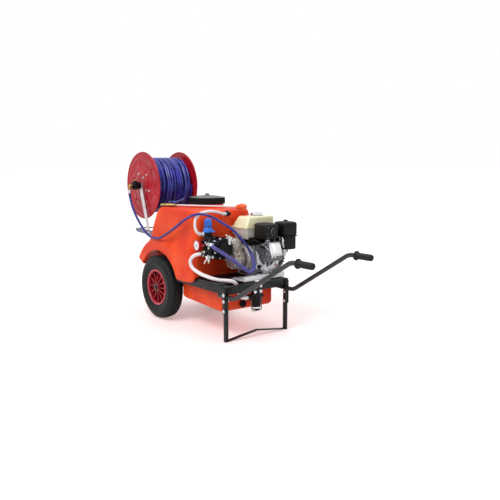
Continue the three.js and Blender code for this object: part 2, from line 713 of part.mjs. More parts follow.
function crankKnob() {
  const start = CRANK_FACE + 10 + GAP;
  return turned('y', [
    [5 + GAP, start], [13, start], [16, start + 30], [12, start + CRANK_KNOB_LENGTH - 16],
    [5 + GAP, start + CRANK_KNOB_LENGTH - 16], [5 + GAP, start],
  ], [REEL_X, 0, REEL_Z - CRANK_ARM + 12], 16);
}

/** The wound hose: one closed ring that fills the reel between its flanges. */
function hoseWinding() {
  const half = FLANGE_HALF - 3 * FLANGE_BEAD / 2;
  return ring('y', DRUM_RADIUS + GAP, WINDING_RADIUS, -half, half, [REEL_X, 0, REEL_Z], 36);
}

// ---------------------------------------------------------------- gearbox and pump
function gearbox() {
  const outline = new THREE.Shape();
  const [reach, high] = [58, 34];
  outline.absarc(CRANKSHAFT_X, CRANKSHAFT_Z - 2, reach, Math.PI, 2 * Math.PI, false);
  outline.absarc(PUMP_X + 14, PUMP_Z + 2, high + 12, 0, Math.PI, false);
  return join([
    sideways(outline, PUMP_BACK + GAP, BLOCK_LEFT - 38, 4),
    bar('y', 40, [CRANKSHAFT_X, BLOCK_LEFT - 45, CRANKSHAFT_Z], 9.7),
  ]);
}

const REGULATOR_X = 458;
const REGULATOR_Y = -160;
const REGULATOR_SPLIT = 604;
const GAUGE_X = 437;
const GAUGE_Z = 513;
const GAUGE_FACE = -232;
const TAP_UPPER = [PUMP_X + PUMP_HALF_WIDTH, -106, 560];
const TAP_LOWER = [528, MANIFOLD_FRONT, 450];
const OUTLET = [525, -214, 528];
const SUCTION_PORT = [456, -202, 464];
const RETURN_PORT = [450, -196, 578];

/** Diaphragm pump: crankcase, two heads, the manifold in front and its ports. */
function pumpBody() {
  const [x0, x1] = [PUMP_X - PUMP_HALF_WIDTH, PUMP_X + PUMP_HALF_WIDTH];
  const head = (from, to, radius) => bar('x', radius, [from, PUMP_MID_Y, PUMP_Z], to - from, 20);
  return join([
    bar('y', PUMP_HEAD_RADIUS - 6, [PUMP_X, PUMP_BACK, PUMP_Z], -PUMP_DEPTH),
    head(x0 + 14, x1 - 14, PUMP_HEAD_RADIUS),
    head(x0, x1, PUMP_HEAD_RADIUS - 12),
    head(x0 + 34, x0 + 46, PUMP_HEAD_RADIUS + 6),
    head(x1 - 46, x1 - 34, PUMP_HEAD_RADIUS + 6),
    box([x0 + 16, x1 - 22], [MANIFOLD_FRONT, PUMP_MID_Y], [PUMP_Z + 14, PUMP_Z + 44]),
    box([x0 + 16, x1 - 30], [MANIFOLD_FRONT + 6, PUMP_MID_Y], [PUMP_Z - 60, PUMP_Z - 30]),
    box([x0 + 30, x0 + 52], [MANIFOLD_FRONT + 4, PUMP_MID_Y], [PUMP_Z - 50, PUMP_Z + 30]),
    box([x1 - 76, x1 - 52], [MANIFOLD_FRONT, PUMP_MID_Y], [PUMP_Z - 62, PUMP_Z + 30]),
    bar('z', 26, [REGULATOR_X, REGULATOR_Y, PUMP_Z + 20], REGULATOR_SPLIT - GAP - PUMP_Z - 20),
    bar('x', 5, [GAUGE_X - 4, MANIFOLD_FRONT + 6, GAUGE_Z + 8], 26, 12),
    bar('y', 5, [GAUGE_X, MANIFOLD_FRONT + 9, GAUGE_Z + 8], GAUGE_FACE + 19 + GAP - MANIFOLD_FRONT - 9, 12),
    bar('x', 9, [x1 - 12, TAP_UPPER[1], PUMP_Z + 34], 20, 14),
    bar('z', 9, [x1 + 2, TAP_UPPER[1], PUMP_Z + 26], 44, 14),
    bar('y', 9, [TAP_LOWER[0], MANIFOLD_FRONT + 8, TAP_LOWER[2]], -22, 14),
    bar('y', 10, [OUTLET[0], MANIFOLD_FRONT + 6, OUTLET[2]], OUTLET[1] - MANIFOLD_FRONT - 6, 14),
    new THREE.SphereGeometry(10.4, 10, 6).translate(...OUTLET),
    bar('x', 10, OUTLET, 23, 14),
    bar('y', 12, [SUCTION_PORT[0], PUMP_MID_Y, SUCTION_PORT[2]], SUCTION_PORT[1] - PUMP_MID_Y, 14),
    bar('y', 10, [RETURN_PORT[0], REGULATOR_Y, RETURN_PORT[2]], RETURN_PORT[1] - REGULATOR_Y, 14),
  ]);
}

function regulatorKnob() {
  return turnedSolid('z', [[25, REGULATOR_SPLIT], [25, REGULATOR_SPLIT + 8], [22, REGULATOR_SPLIT + 12],
    [21, 655], [14, 667]], [REGULATOR_X, REGULATOR_Y, 0], 20);
}

/** Round gauge: the face is sunk behind a rim so that the needle turns inside it. */
function gaugeCase() {
  const [back, face] = [GAUGE_FACE + 19, GAUGE_FACE];
  return turned('y', [
    [0, back], [GAUGE_RADIUS - 6, back], [GAUGE_RADIUS, back - 5], [GAUGE_RADIUS, face],
    [GAUGE_RADIUS - 4, face], [GAUGE_RADIUS - 4, face + 5], [0, face + 5],
  ], [GAUGE_X, 0, GAUGE_Z], 28);
}

const NEEDLE_ZERO = -0.75 * Math.PI; // from straight up, seen from the pump's side

function gaugeNeedle() {
  const y = GAUGE_FACE + 5 - GAP;
  return join([
    bar('y', 3.5, [GAUGE_X, y, GAUGE_Z], -2.4, 12),
    box([-1, 1], [y - 1.6, y - 0.4], [-6, 22]).rotateY(NEEDLE_ZERO).translate(GAUGE_X, 0, GAUGE_Z),
  ]);
}

/** A tap's lever: a hub on the stem and a flat arm at an angle. */
function tapLeverUpper() {
  const x = TAP_UPPER[0] + 2 + 9 + GAP;
  const arm = box([x, x + 3], [-5, 5], [0, 46]).rotateX(2.5);
  return join([
    bar('x', 8, [x, 0, 0], 6, 14),
    arm,
  ]).translate(0, TAP_UPPER[1], TAP_UPPER[2] - 4);
}

function tapLeverLower() {
  const y = MANIFOLD_FRONT - 14 - GAP;
  const arm = box([-4.5, 4.5], [y - 3, y], [0, 40]).rotateY(2.1);
  return join([
    bar('y', 8, [0, y, 0], -6, 14),
    arm,
  ]).translate(TAP_LOWER[0], 0, TAP_LOWER[2]);
}

// ---------------------------------------------------------------- engine
const HEAD_AXIS = new THREE.Vector3(Math.cos(HEAD_TILT), 0, Math.sin(HEAD_TILT));

/** A box in the leaning cylinder's own directions, measured from the crankshaft. */
function leaning(alongAxis, across, rise) {
  return box(alongAxis, across, rise).rotateY(-HEAD_TILT).translate(CRANKSHAFT_X, 0, CRANKSHAFT_Z);
}

const FUEL_X = [410, 562];
const FUEL_Y = [35, 262];
const FUEL_LOW = 545;
const FUEL_TOP = 668;
const CAP_X = 486;
const CAP_Y = 176;
const MUFFLER_X = [566, 684];
const MUFFLER_Y = [90, 186];
const MUFFLER_Z = [541, 632];
const CLEANER_X = [612, 722];
const CLEANER_Y = [200, 303];
const CLEANER_Z = [476, 640];
const CONTROL_X = 584;
const CONTROL_Z = 532;
const CHOKE_X = 650;

/** Crankcase, shaft cover, leaning cylinder and head, intake, exhaust and mounting feet. */
function engineBlock() {
  const crankcase = [
    [BLOCK_REAR + 10, ENGINE_LOW + 10], [BLOCK_FRONT - 12, ENGINE_LOW + 10], [BLOCK_FRONT, ENGINE_LOW + 40],
    [BLOCK_FRONT, BLOCK_TOP - 60], [BLOCK_FRONT - 40, BLOCK_TOP], [BLOCK_REAR + 30, BLOCK_TOP],
    [BLOCK_REAR, BLOCK_TOP - 34], [BLOCK_REAR, ENGINE_LOW + 40],
  ];
  return join([
    box([BLOCK_REAR, BLOCK_FRONT + 14], [BLOCK_LEFT, BLOCK_RIGHT - 10], [ENGINE_LOW, ENGINE_LOW + 12]),
    sideways(crankcase, BLOCK_LEFT, BLOCK_RIGHT, 6),
    bar('y', 74, [CRANKSHAFT_X, BLOCK_LEFT - 35, CRANKSHAFT_Z], 40, 24),
    leaning([50, 128], [HEAD_LEFT + 6, HEAD_RIGHT - 6], [-50, 50]),
    leaning([124, HEAD_REACH], [HEAD_LEFT, HEAD_RIGHT], [-58, 54]),
    bar('z', 15, [MUFFLER_X[1] - 34, 128, BLOCK_TOP], MUFFLER_Z[0] - GAP - BLOCK_TOP, 16),
    box([CLEANER_X[0] + 20, CLEANER_X[1] - 50], [HEAD_RIGHT - 20, CLEANER_Y[0] - GAP], [486, 524]),
    box([CLEANER_X[0] + 6, CHOKE_X - GAP], [BLOCK_RIGHT - 50, BLOCK_RIGHT - 1], [430, CLEANER_Z[0] - GAP]),
    box([FUEL_X[0] + 66, FUEL_X[0] + 88], [FUEL_Y[0] + 30, FUEL_Y[1] - 60], [BLOCK_TOP - 8, FUEL_LOW - GAP]),
    box([FUEL_X[1] - 26, FUEL_X[1] - 4], [FUEL_Y[0] + 30, FUEL_Y[1] - 60], [BLOCK_TOP - 8, FUEL_LOW - GAP]),
    box([CONTROL_X - 14, CONTROL_X + 14], [BLOCK_RIGHT - 40, BLOCK_RIGHT - 4],
      [BLOCK_TOP - 10, CONTROL_Z + 8]),
  ]);
}

function valveCover() {
  const from = HEAD_REACH + GAP;
  const cover = moulded([
    [from, [-42, 42], [-44, 44], 14], [from + 16, [-40, 40], [-42, 42], 14],
    [from + 26, [-31, 31], [-33, 33], 12],
  ]);
  const middle = (HEAD_LEFT + HEAD_RIGHT) / 2;
  return cover.rotateY(Math.PI / 2 - HEAD_TILT).translate(CRANKSHAFT_X, middle, CRANKSHAFT_Z);
}

function fuelTank() {
  const inset = (range, by) => [range[0] + by, range[1] - by];
  return moulded([
    [FUEL_LOW, inset(FUEL_X, 14), inset(FUEL_Y, 14), 14],
    [FUEL_LOW + 14, inset(FUEL_X, 3), inset(FUEL_Y, 3), 22],
    [600, FUEL_X, FUEL_Y, 24], [606, FUEL_X, FUEL_Y, 24], [645, inset(FUEL_X, 12), inset(FUEL_Y, 16), 26],
    [FUEL_TOP - 4, inset(FUEL_X, 22), inset(FUEL_Y, 28), 26],
    [FUEL_TOP, inset(FUEL_X, 32), inset(FUEL_Y, 38), 20],
  ]);
}

function fuelCap() {
  const low = FUEL_TOP + GAP;
  return turnedSolid('z', [[36, low], [38, low + 3], [38, low + 14], [32, low + 19]], [CAP_X, CAP_Y, 0], 24);
}

function muffler() {
  const inset = (range, by) => [range[0] + by, range[1] - by];
  const [low, high] = MUFFLER_Z;
  return moulded([
    [low, inset(MUFFLER_X, 10), inset(MUFFLER_Y, 10), 16], [low + 10, MUFFLER_X, MUFFLER_Y, 22],
    [high - 10, MUFFLER_X, MUFFLER_Y, 22], [high, inset(MUFFLER_X, 10), inset(MUFFLER_Y, 10), 16],
  ]);
}

function airCleaner() {
  const inset = (range, by) => [range[0] + by, range[1] - by];
  const [low, high] = CLEANER_Z;
  return moulded([
    [low, inset(CLEANER_X, 14), [CLEANER_Y[0] + 10, CLEANER_Y[1] - 22], 10],
    [low + 12, inset(CLEANER_X, 8), [CLEANER_Y[0], CLEANER_Y[1] - 14], 16],
    [554, inset(CLEANER_X, 2), [CLEANER_Y[0], CLEANER_Y[1] - 3], 20],
    [560, CLEANER_X, CLEANER_Y, 20], [high - 10, CLEANER_X, CLEANER_Y, 20],
    [high, inset(CLEANER_X, 8), inset(CLEANER_Y, 8), 16],
  ]);
}

const NUT_X = (CLEANER_X[0] + CLEANER_X[1]) / 2;
const NUT_Y = (CLEANER_Y[0] + CLEANER_Y[1]) / 2;

function airCleanerNut() {
  const low = CLEANER_Z[1] + GAP;
  return join([
    turnedSolid('z', [[9, low], [7, low + 9]], [NUT_X, NUT_Y, 0], 12),
    box([NUT_X - 18, NUT_X + 18], [NUT_Y - 2, NUT_Y + 2], [low + 3, low + 12]),
  ]);
}

function recoilCover() {
  const [from, to] = [BLOCK_RIGHT + GAP, BLOCK_RIGHT + RECOIL_DEPTH];
  return turnedSolid('y', [[RECOIL_RADIUS - 4, from], [RECOIL_RADIUS, from + 12], [RECOIL_RADIUS, to - 26],
    [RECOIL_RADIUS - 16, to - 8], [RECOIL_RADIUS - 40, to]], [CRANKSHAFT_X, 0, CRANKSHAFT_Z], 24);
}

const STARTER = [CRANKSHAFT_X + 34, BLOCK_RIGHT + RECOIL_DEPTH + GAP, CRANKSHAFT_Z + 22];
const STARTER_DEPTH = 30;

/** The T-shaped grip on the end of the starter cord. */
function starterGrip() {
  return join([
    bar('y', 7, STARTER, STARTER_DEPTH - 8, 12),
    bar('x', 9, [STARTER[0] - 34, STARTER[1] + STARTER_DEPTH - 9, STARTER[2]], 68, 14),
  ]);
}

function throttleLever() {
  const y = BLOCK_RIGHT - 4 + GAP;
  return join([
    bar('y', 9, [CONTROL_X, y, CONTROL_Z], 5, 14),
    box([CONTROL_X - 3, CONTROL_X + 3], [y, y + 3], [CONTROL_Z, CONTROL_Z + 40]),
    bar('y', 6, [CONTROL_X, y, CONTROL_Z + 40], 12, 12),
  ]);
}

function chokeLever() {
  const [y, z] = [BLOCK_RIGHT - 18, 448];
  return join([
    bar('x', 6, [CHOKE_X, y, z], 5, 12),
    box([CHOKE_X, CHOKE_X + 3], [y, y + 34], [z - 3, z + 3]),
    bar('x', 5, [CHOKE_X, y + 34, z], 9, 12),
  ]);
}

function engineSwitch() {
  const x = BLOCK_FRONT + GAP;
  return join([
    bar('x', 12, [x, 190, 384], 8, 16),
    box([x, x + 14], [187, 193], [373, 395]),
  ]);
}

function oilCap() {
  const x = BLOCK_FRONT + GAP;
  return join([
    bar('x', 14, [x, 68, 386], 13, 16),
    box([x, x + 22], [65, 71], [374, 398]),
  ]);
}

// ---------------------------------------------------------------- spray gun
const GUN_START = [-20, -190];
const GUN_END = [455, 122];
const GUN_RADIUS = 11;
const GUN_Z = TANK_TOP + GAP + GUN_RADIUS;
const GUN_ANGLE = Math.atan2(GUN_END[1] - GUN_START[1], GUN_END[0] - GUN_START[0]);
const GUN_LENGTH = Math.hypot(GUN_END[1] - GUN_START[1], GUN_END[0] - GUN_START[0]);
const NOZZLE_LENGTH = 62;
const GUN_PORT = 63; // along the gun, where the wound hose joins it
const GUN_PORT_LENGTH = 14;

/** Turn a piece made along X from 0 so that it lies across the tank's top. */
function onTank(geometry) {
  return geometry.rotateZ(GUN_ANGLE).translate(GUN_START[0], GUN_START[1], GUN_Z);
}

/** Brass valve body, its grip sleeve and the long lance. */
function gunBody() {
  return onTank(join([
    bar('x', GUN_RADIUS - 2, [0, 0, 0], 22, 16),
    bar('x', GUN_RADIUS, [20, 0, 0], 76, 16),
    bar('x', 5.5, [90, 0, 0], GUN_LENGTH - NOZZLE_LENGTH - GAP - 90, 12),
    box([GUN_PORT - 7, GUN_PORT + 7], [-6, 6], [0, 17]),
    bar('y', 8, [GUN_PORT, 0, 0], GUN_RADIUS + GUN_PORT_LENGTH, 14),
  ]));
}

function gunLever() {
  return onTank(join([
    bar('z', 7, [GUN_PORT, 0, 17 + GAP], 5, 12),
    box([GUN_PORT - 4, GUN_PORT + 30], [-4, 4], [17 + GAP, 20 + GAP]),
  ]));
}

function gunNozzle() {
  const from = GUN_LENGTH - NOZZLE_LENGTH;
  return onTank(turned('x', [
    [0, from], [13, from], [20, from + 8], [20, from + 44], [15, from + 52], [15, GUN_LENGTH],
    [6, GUN_LENGTH], [6, GUN_LENGTH - 14], [0, GUN_LENGTH - 14],
  ], [0, 0, 0], 20));
}

// ---------------------------------------------------------------- hoses
/** From the pump's outlet down past the engine, up over the pump and along the tank to the swivel. */
const DELIVERY_ROUTE = [
  [OUTLET[0] + 23 + GAP, OUTLET[1], OUTLET[2]], [562, OUTLET[1], OUTLET[2]], [582, -207, 514],
  [606, -176, 490], [640, -124, 446],
  [660, -66, 398], [668, -20, 368], [677, 4, 384], [680, 2, 425], [680, -18, 474], [670, -46, 526],
  [652, -86, 579], [625, -118, 618], [590, -147, 646], [550, -181, 676], [500, -222, 697], [445, -246, 690],
  [350, -248, 656], [238, -248, 600], [120, -248, 545], [55, -248, 520], [-15, -248, 514], [-91, -248, 526],
  [-167, -248, 572], [-232, -248, 625], [-300, -246, 700], [REEL_X, SWIVEL_TIP_Y, 770],
  [REEL_X, SWIVEL_TIP_Y, REEL_Z - SWIVEL_DROP - GAP],
];

/** From the pump's suction port round its left side and along the deck to the filter. */
const SUCTION_ROUTE = [
  [SUCTION_PORT[0], SUCTION_PORT[1] - GAP, SUCTION_PORT[2]],
  [SUCTION_PORT[0], SUCTION_PORT[1] - 12, SUCTION_PORT[2]], [450, -228, 462], [430, -249, 448],
  [418, -258, 420], [432, -256, 388], [476, -240, 360], [535, -215, 341], [600, -190, 331],
  [645, -168, 331], [672, -140, 326],
  [677, -118, 300], [677, -106, 262], [688, -98, 236], [FILTER_X, -80, BAIL_Z],
  [FILTER_X, -62 - GAP, BAIL_Z],
];

/** From the pump's regulator up and across to the fitting on the tank's front. */
const RETURN_ROUTE = [
  [RETURN_PORT[0], RETURN_PORT[1] - GAP, RETURN_PORT[2]], [450, -212, 578], [448, -232, 594],
  [446, -242, 628], [446, -236, 668],
  [448, -208, 694], [450, -150, 706], [449, -80, 697], [ELBOW_X, -38, ELBOW_Z],
  [ELBOW_X, ELBOW_Y - 30 - GAP, ELBOW_Z],
];

/** A point on the axis of the gun's side port, this far out of its end. */
function portPoint(out) {
  const [x, y] = [GUN_PORT, GUN_RADIUS + GUN_PORT_LENGTH + out];
  const [cos, sin] = [Math.cos(GUN_ANGLE), Math.sin(GUN_ANGLE)];
  return [GUN_START[0] + x * cos - y * sin, GUN_START[1] + x * sin + y * cos, GUN_Z];
}

/** The end of the wound hose, from the spray gun to the winding. */
const GUN_HOSE_ROUTE = [
  portPoint(GAP), portPoint(12),
  [-8, -102, 724], [-42, -32, 740], [-84, 24, 752], [-120, 50, 757],
  [REEL_X + (WINDING_RADIUS + DELIVERY_RADIUS + 2) * Math.cos(0.3), 58,
    REEL_Z - (WINDING_RADIUS + DELIVERY_RADIUS + 2) * Math.sin(0.3)],
  [REEL_X + (WINDING_RADIUS + DELIVERY_RADIUS + GAP) * Math.cos(0.22), 60,
    REEL_Z - (WINDING_RADIUS + DELIVERY_RADIUS + GAP) * Math.sin(0.22)],
];

function hose(route, radius, steps, sides = 8) {
  return swept(new THREE.CatmullRomCurve3(vectors(route), false, 'centripetal'), radius, sides, steps);
}

// ---------------------------------------------------------------- the whole cart
for (const [name, side] of SIDES) {
  add(`rail_${name}`, STEEL, rail(side));
  add(`handle_${name}`, STEEL, handle(side));
  add(`grip_${name}`, BLACK, grip(side));
  add(`tyre_${name}`, RUBBER, tyre(side));
  add(`rim_${name}`, RIM_RED, rim(side));
  add(`reel_flange_${name}`, REEL_RED, reelFlange(side));
}
add('front_crossmember', STEEL, frontCrossmember());
add('axle_carrier', STEEL, axleCarrier());
add('deck_plate', STEEL, deckPlate());
add('engine_plate', ALUMINIUM, enginePlate());
add('stand', STEEL, stand());

add('tank_body', MOULDED, tankBody());
add('tank_lid', BLACK, tankLid());
add('lid_vent', BLACK, lidVent());
add('drain_plug', BLACK, drainPlug());
add('return_elbow', BLACK, returnElbow());
add('filter_head', BLACK, filterHead());
add('filter_bowl', BLACK, filterBowl());
add('filter_bail', CHROME, filterBail());

add('reel_carrier', ALUMINIUM, reelCarrier());
add('reel_drum', REEL_RED, reelDrum());
add('reel_shaft', CHROME, reelShaft());
add('swivel_body', BLACK, swivelBody());
add('swivel_elbow', BRASS, swivelElbow());
add('reel_crank', STEEL, reelCrank());
add('crank_knob', BLACK, crankKnob());
add('hose_winding', HOSE_BLUE, hoseWinding());

add('gearbox', ALUMINIUM, gearbox());
add('pump_body', BLACK, pumpBody());
add('regulator_knob', BLUE, regulatorKnob());
add('gauge_case', WHITE, gaugeCase());
add('gauge_needle', BLACK, gaugeNeedle());
add('tap_lever_upper', CHROME, tapLeverUpper());
add('tap_lever_lower', CHROME, tapLeverLower());

add('engine_block', ALUMINIUM, engineBlock());
add('valve_cover', WHITE, valveCover());
add('fuel_tank', CREAM, fuelTank());
add('fuel_cap', CHROME, fuelCap());
add('muffler', BLACK, muffler());
add('air_cleaner', BLACK, airCleaner());
add('air_cleaner_nut', BLACK, airCleanerNut());
add('recoil_cover', WHITE, recoilCover());
add('starter_grip', BLACK, starterGrip());
add('throttle_lever', CHROME, throttleLever());
add('choke_lever', CHROME, chokeLever());
add('engine_switch', BLACK, engineSwitch());
add('oil_cap', BLACK, oilCap());

add('gun_body', BRASS, gunBody());
add('gun_lever', CHROME, gunLever());
add('gun_nozzle', ORANGE, gunNozzle());

add('delivery_hose', HOSE_BLUE, hose(DELIVERY_ROUTE, DELIVERY_RADIUS, 64));
add('suction_hose', HOSE_WHITE, hose(SUCTION_ROUTE, SUCTION_RADIUS, 32));
add('return_hose', HOSE_WHITE, hose(RETURN_ROUTE, RETURN_RADIUS, 24));
add('gun_hose', HOSE_BLUE, hose(GUN_HOSE_ROUTE, DELIVERY_RADIUS, 12));

// the origin is the middle of the footprint's box, on the floor
const REACH_X = [REEL_X - FLANGE_RADIUS, HANDLE_END];
const REACH_Y = [-TRACK_HALF - TYRE_WIDTH / 2, STARTER[1] + STARTER_DEPTH];
cart.position.set(-(REACH_X[0] + REACH_X[1]) / 2, -(REACH_Y[0] + REACH_Y[1]) / 2, 0);

export default cart;
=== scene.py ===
"""Looks of a two-wheeled spray and fire-fighting cart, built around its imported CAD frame.

Sizes are millimetres along the cart's own axes: X runs towards the push handles with the axle at
x = 0, left is -Y, the side of the pump, and the floor is z = 0. Each piece is turned into metres
in the row frame when it is finished.
"""

import logging
import random
from dataclasses import dataclass
from enum import Enum
from math import atan2, cos, hypot, pi, radians, sin, sqrt, tau

import bmesh
import bpy
from mathutils import Matrix, Vector


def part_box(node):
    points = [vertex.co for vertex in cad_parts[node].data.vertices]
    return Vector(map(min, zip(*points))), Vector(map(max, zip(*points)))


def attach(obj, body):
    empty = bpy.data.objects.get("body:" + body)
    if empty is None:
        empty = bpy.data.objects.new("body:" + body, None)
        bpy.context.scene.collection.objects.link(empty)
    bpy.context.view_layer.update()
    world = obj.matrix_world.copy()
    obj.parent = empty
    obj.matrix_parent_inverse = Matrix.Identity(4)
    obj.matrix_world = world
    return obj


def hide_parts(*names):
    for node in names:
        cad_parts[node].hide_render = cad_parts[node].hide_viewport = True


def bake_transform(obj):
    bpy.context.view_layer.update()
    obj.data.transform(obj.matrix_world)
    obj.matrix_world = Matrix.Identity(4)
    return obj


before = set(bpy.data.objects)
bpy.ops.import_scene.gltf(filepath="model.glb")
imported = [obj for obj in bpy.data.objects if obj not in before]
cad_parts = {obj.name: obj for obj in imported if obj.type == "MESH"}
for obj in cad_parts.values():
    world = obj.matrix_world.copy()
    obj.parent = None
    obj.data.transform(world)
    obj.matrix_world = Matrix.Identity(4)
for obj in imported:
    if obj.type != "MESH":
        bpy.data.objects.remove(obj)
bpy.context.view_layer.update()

LOG = logging.getLogger("cart")
MM = 0.001
X, Y, Z = Vector((1, 0, 0)), Vector((0, 1, 0)), Vector((0, 0, 1))
REEL_REAR = -554.0  # rearmost point of the reel's flanges
RAIL_LEFT = -228.0  # outer face of the left rail
ORIGIN = Vector((
    REEL_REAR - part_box("reel_flange_left")[0].x / MM,
    RAIL_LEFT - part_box("rail_left")[0].y / MM,
    0.0,
))  # of the row frame, in the cart's own axes
TO_ROW = Matrix.Scale(MM, 4) @ Matrix.Translation(-ORIGIN)
SIDES = {"left": -1, "right": 1}


class Body(Enum):
    """The CAD bodies that pieces ride on."""

    CHASSIS = "chassis"
    REEL = "reel"
    CRANK_KNOB = "crank_knob"
    LID = "lid"
    VENT_CAP = "vent_cap"
    DRAIN_PLUG = "drain_plug"
    FILTER_BOWL = "filter_bowl"
    FILTER_BAIL = "filter_bail"
    REGULATOR = "regulator_knob"
    NEEDLE = "gauge_needle"
    TAP_UPPER = "tap_lever_upper"
    TAP_LOWER = "tap_lever_lower"
    FUEL_CAP = "fuel_cap"
    THROTTLE = "throttle_lever"
    CHOKE = "choke_lever"
    SWITCH = "engine_switch"
    OIL_CAP = "oil_cap"
    STARTER = "starter_grip"
    CLEANER_NUT = "air_cleaner_nut"
    GUN = "gun"
    GUN_LEVER = "gun_lever"
    GUN_NOZZLE = "gun_nozzle"
    WHEEL_LEFT = "wheel_left"
    WHEEL_RIGHT = "wheel_right"


class Grain(Enum):
    """How a finish's fine relief runs."""

    EVEN = "even"
    CELLS = "cells"
    BRUSHED_X = "brushed along X"


# ---- finishes
def linear(colour: str) -> tuple[float, float, float, float]:
    """Turns an sRGB hex value into a linear colour.

    Args:
        colour: the value, such as "#e8461c".

    Returns:
        Red, green, blue and an alpha of 1.
    """
    parts = [int(colour[i:i + 2], 16) / 255 for i in (1, 3, 5)]
    red, green, blue = [c / 12.92 if c <= 0.04045 else ((c + 0.055) / 1.055) ** 2.4 for c in parts]
    return red, green, blue, 1.0


def add_node(tree: bpy.types.NodeTree, kind: str, settings: dict | None = None,
             links: dict | None = None) -> bpy.types.Node:
    """Adds a node with its settings and links.

    Args:
        tree: the material's node tree.
        kind: the node's type, without the ShaderNode in front.
        settings: properties, or values of inputs by their name.
        links: output sockets by the name or number of the input that they feed.

    Returns:
        The new node.
    """
    node = tree.nodes.new("ShaderNode" + kind)
    for name, value in (settings or {}).items():
        if isinstance(name, str) and hasattr(node, name):
            setattr(node, name, value)
        else:
            node.inputs[name].default_value = value
    for name, socket in (links or {}).items():
        tree.links.new(socket, node.inputs[name])
    return node


def bare_tree(made: bpy.types.Material | bpy.types.World) -> bpy.types.NodeTree:
    """Returns the node tree of a material or world, emptied."""
    made.use_nodes = True
    made.node_tree.nodes.clear()
    return made.node_tree


@dataclass(frozen=True)
class Finish:
    """A real surface: what it is made of and how it was made."""

    name: str
    slot: str
    colour: str
    shade: str
    roughness: float
    uneven: float = 0.08
    metallic: float = 0.0
    ior: float = 1.5
    coat: float = 0.0
    patch_mm: float = 70.0
    grain_mm: float = 1.2
    relief_mm: float = 0.03
    grain: Grain = Grain.EVEN
    swell_mm: float = 0.0
    speck: str = ""

    def material(self) -> bpy.types.Material:
        """Returns the finish's material, made once."""
        return bpy.data.materials.get(self.name) or self._build()

    def _build(self) -> bpy.types.Material:
        """Builds the material's nodes and returns it."""
        made = bpy.data.materials.new(self.name)
        tree = bare_tree(made)
        place = add_node(tree, "TexCoord").outputs["Object"]
        patches = add_node(tree, "TexNoise", {"Scale": 1 / (self.patch_mm * MM), "Detail": 3.0},
                           {"Vector": place}).outputs["Fac"]
        colour = add_node(tree, "Mix", {"data_type": "RGBA", 6: linear(self.colour), 7: linear(self.shade)})
        spread = add_node(tree, "MapRange", {"From Min": 0.35, "From Max": 0.68}, {"Value": patches})
        tree.links.new(spread.outputs["Result"], colour.inputs[0])
        base = colour.outputs[2]
        if self.speck:
            base = self._specks(tree, place, base)
        fine = self._fine(tree, place)
        rough = add_node(tree, "MapRange", {"To Min": max(0.02, self.roughness - self.uneven),
                                            "To Max": self.roughness + self.uneven}, {"Value": patches})
        relief = add_node(tree, "Bump", {"Strength": 1.0, "Distance": self.relief_mm * MM}, {"Height": fine})
        if self.swell_mm:
            slow = add_node(tree, "TexNoise", {"Scale": 1 / (45 * MM), "Detail": 1.0}, {"Vector": place})
            relief = add_node(tree, "Bump", {"Strength": 1.0, "Distance": self.swell_mm * MM},
                              {"Height": slow.outputs["Fac"], "Normal": relief.outputs["Normal"]})
        shader = add_node(tree, "BsdfPrincipled", {
            "Metallic": self.metallic, "IOR": self.ior, "Coat Weight": self.coat,
            "Coat Roughness": 0.12,
        }, {"Base Color": base, "Roughness": rough.outputs["Result"], "Normal": relief.outputs["Normal"]})
        add_node(tree, "OutputMaterial", links={"Surface": shader.outputs["BSDF"]})
        return made

    def _fine(self, tree: bpy.types.NodeTree, place: bpy.types.NodeSocket) -> bpy.types.NodeSocket:
        """Adds the fine relief and returns its height.

        Args:
            tree: the material's node tree.
            place: the Object coordinates.

        Returns:
            The socket with the height.
        """
        scale = 1 / (self.grain_mm * MM)
        if self.grain is Grain.CELLS:
            return add_node(tree, "TexVoronoi", {"Scale": scale}, {"Vector": place}).outputs["Distance"]
        if self.grain is Grain.BRUSHED_X:
            along = add_node(tree, "Mapping", {"Scale": (0.03, 1, 1)}, {"Vector": place}).outputs["Vector"]
            return add_node(tree, "TexNoise", {"Scale": scale, "Detail": 2.0},
                            {"Vector": along}).outputs["Fac"]
        return add_node(tree, "TexNoise", {"Scale": scale, "Detail": 3.0}, {"Vector": place}).outputs["Fac"]

    def _specks(self, tree: bpy.types.NodeTree, place: bpy.types.NodeSocket,
                base: bpy.types.NodeSocket) -> bpy.types.NodeSocket:
        """Adds small specks of a second colour, such as dust or scuffs.

        Args:
            tree: the material's node tree.
            place: the Object coordinates.
            base: the colour so far.

        Returns:
            The socket with the specked colour.
        """
        dots = add_node(tree, "TexNoise", {"Scale": 1 / (5 * MM), "Detail": 4.0}, {"Vector": place})
        few = add_node(tree, "MapRange", {"From Min": 0.6, "From Max": 0.74, "To Max": 0.55},
                       {"Value": dots.outputs["Fac"]})
        mixed = add_node(tree, "Mix", {"data_type": "RGBA", 7: linear(self.speck)},
                         {0: few.outputs["Result"], 6: base})
        return mixed.outputs[2]


# Rotationally moulded polyethylene: saturated, satin, with a soft orange peel and slow waves.
TANK = Finish("moulded_polyethylene", "tank_plastic", "#de360e", "#f45420", 0.42, ior=1.3, patch_mm=160,
              grain_mm=3.5, relief_mm=0.16, swell_mm=2.2)
# Powder coat on steel: dark grey, with a fine pebbled gloss.
FRAME_COAT = Finish("powder_coated_steel", "frame_paint", "#15171a", "#212427", 0.36, ior=1.3, grain_mm=1.1,
                    relief_mm=0.07, speck="#3a3d40")
# The same coat on the bent tubes, glossier, with a lighter base colour that is painted highlight.
LIT_TUBE_COAT = Finish("powder_coat_painted_highlight", "frame_paint", "#202326", "#2f3337", 0.3, ior=1.4, grain_mm=1.1,
                   relief_mm=0.05, speck="#3a3d40")
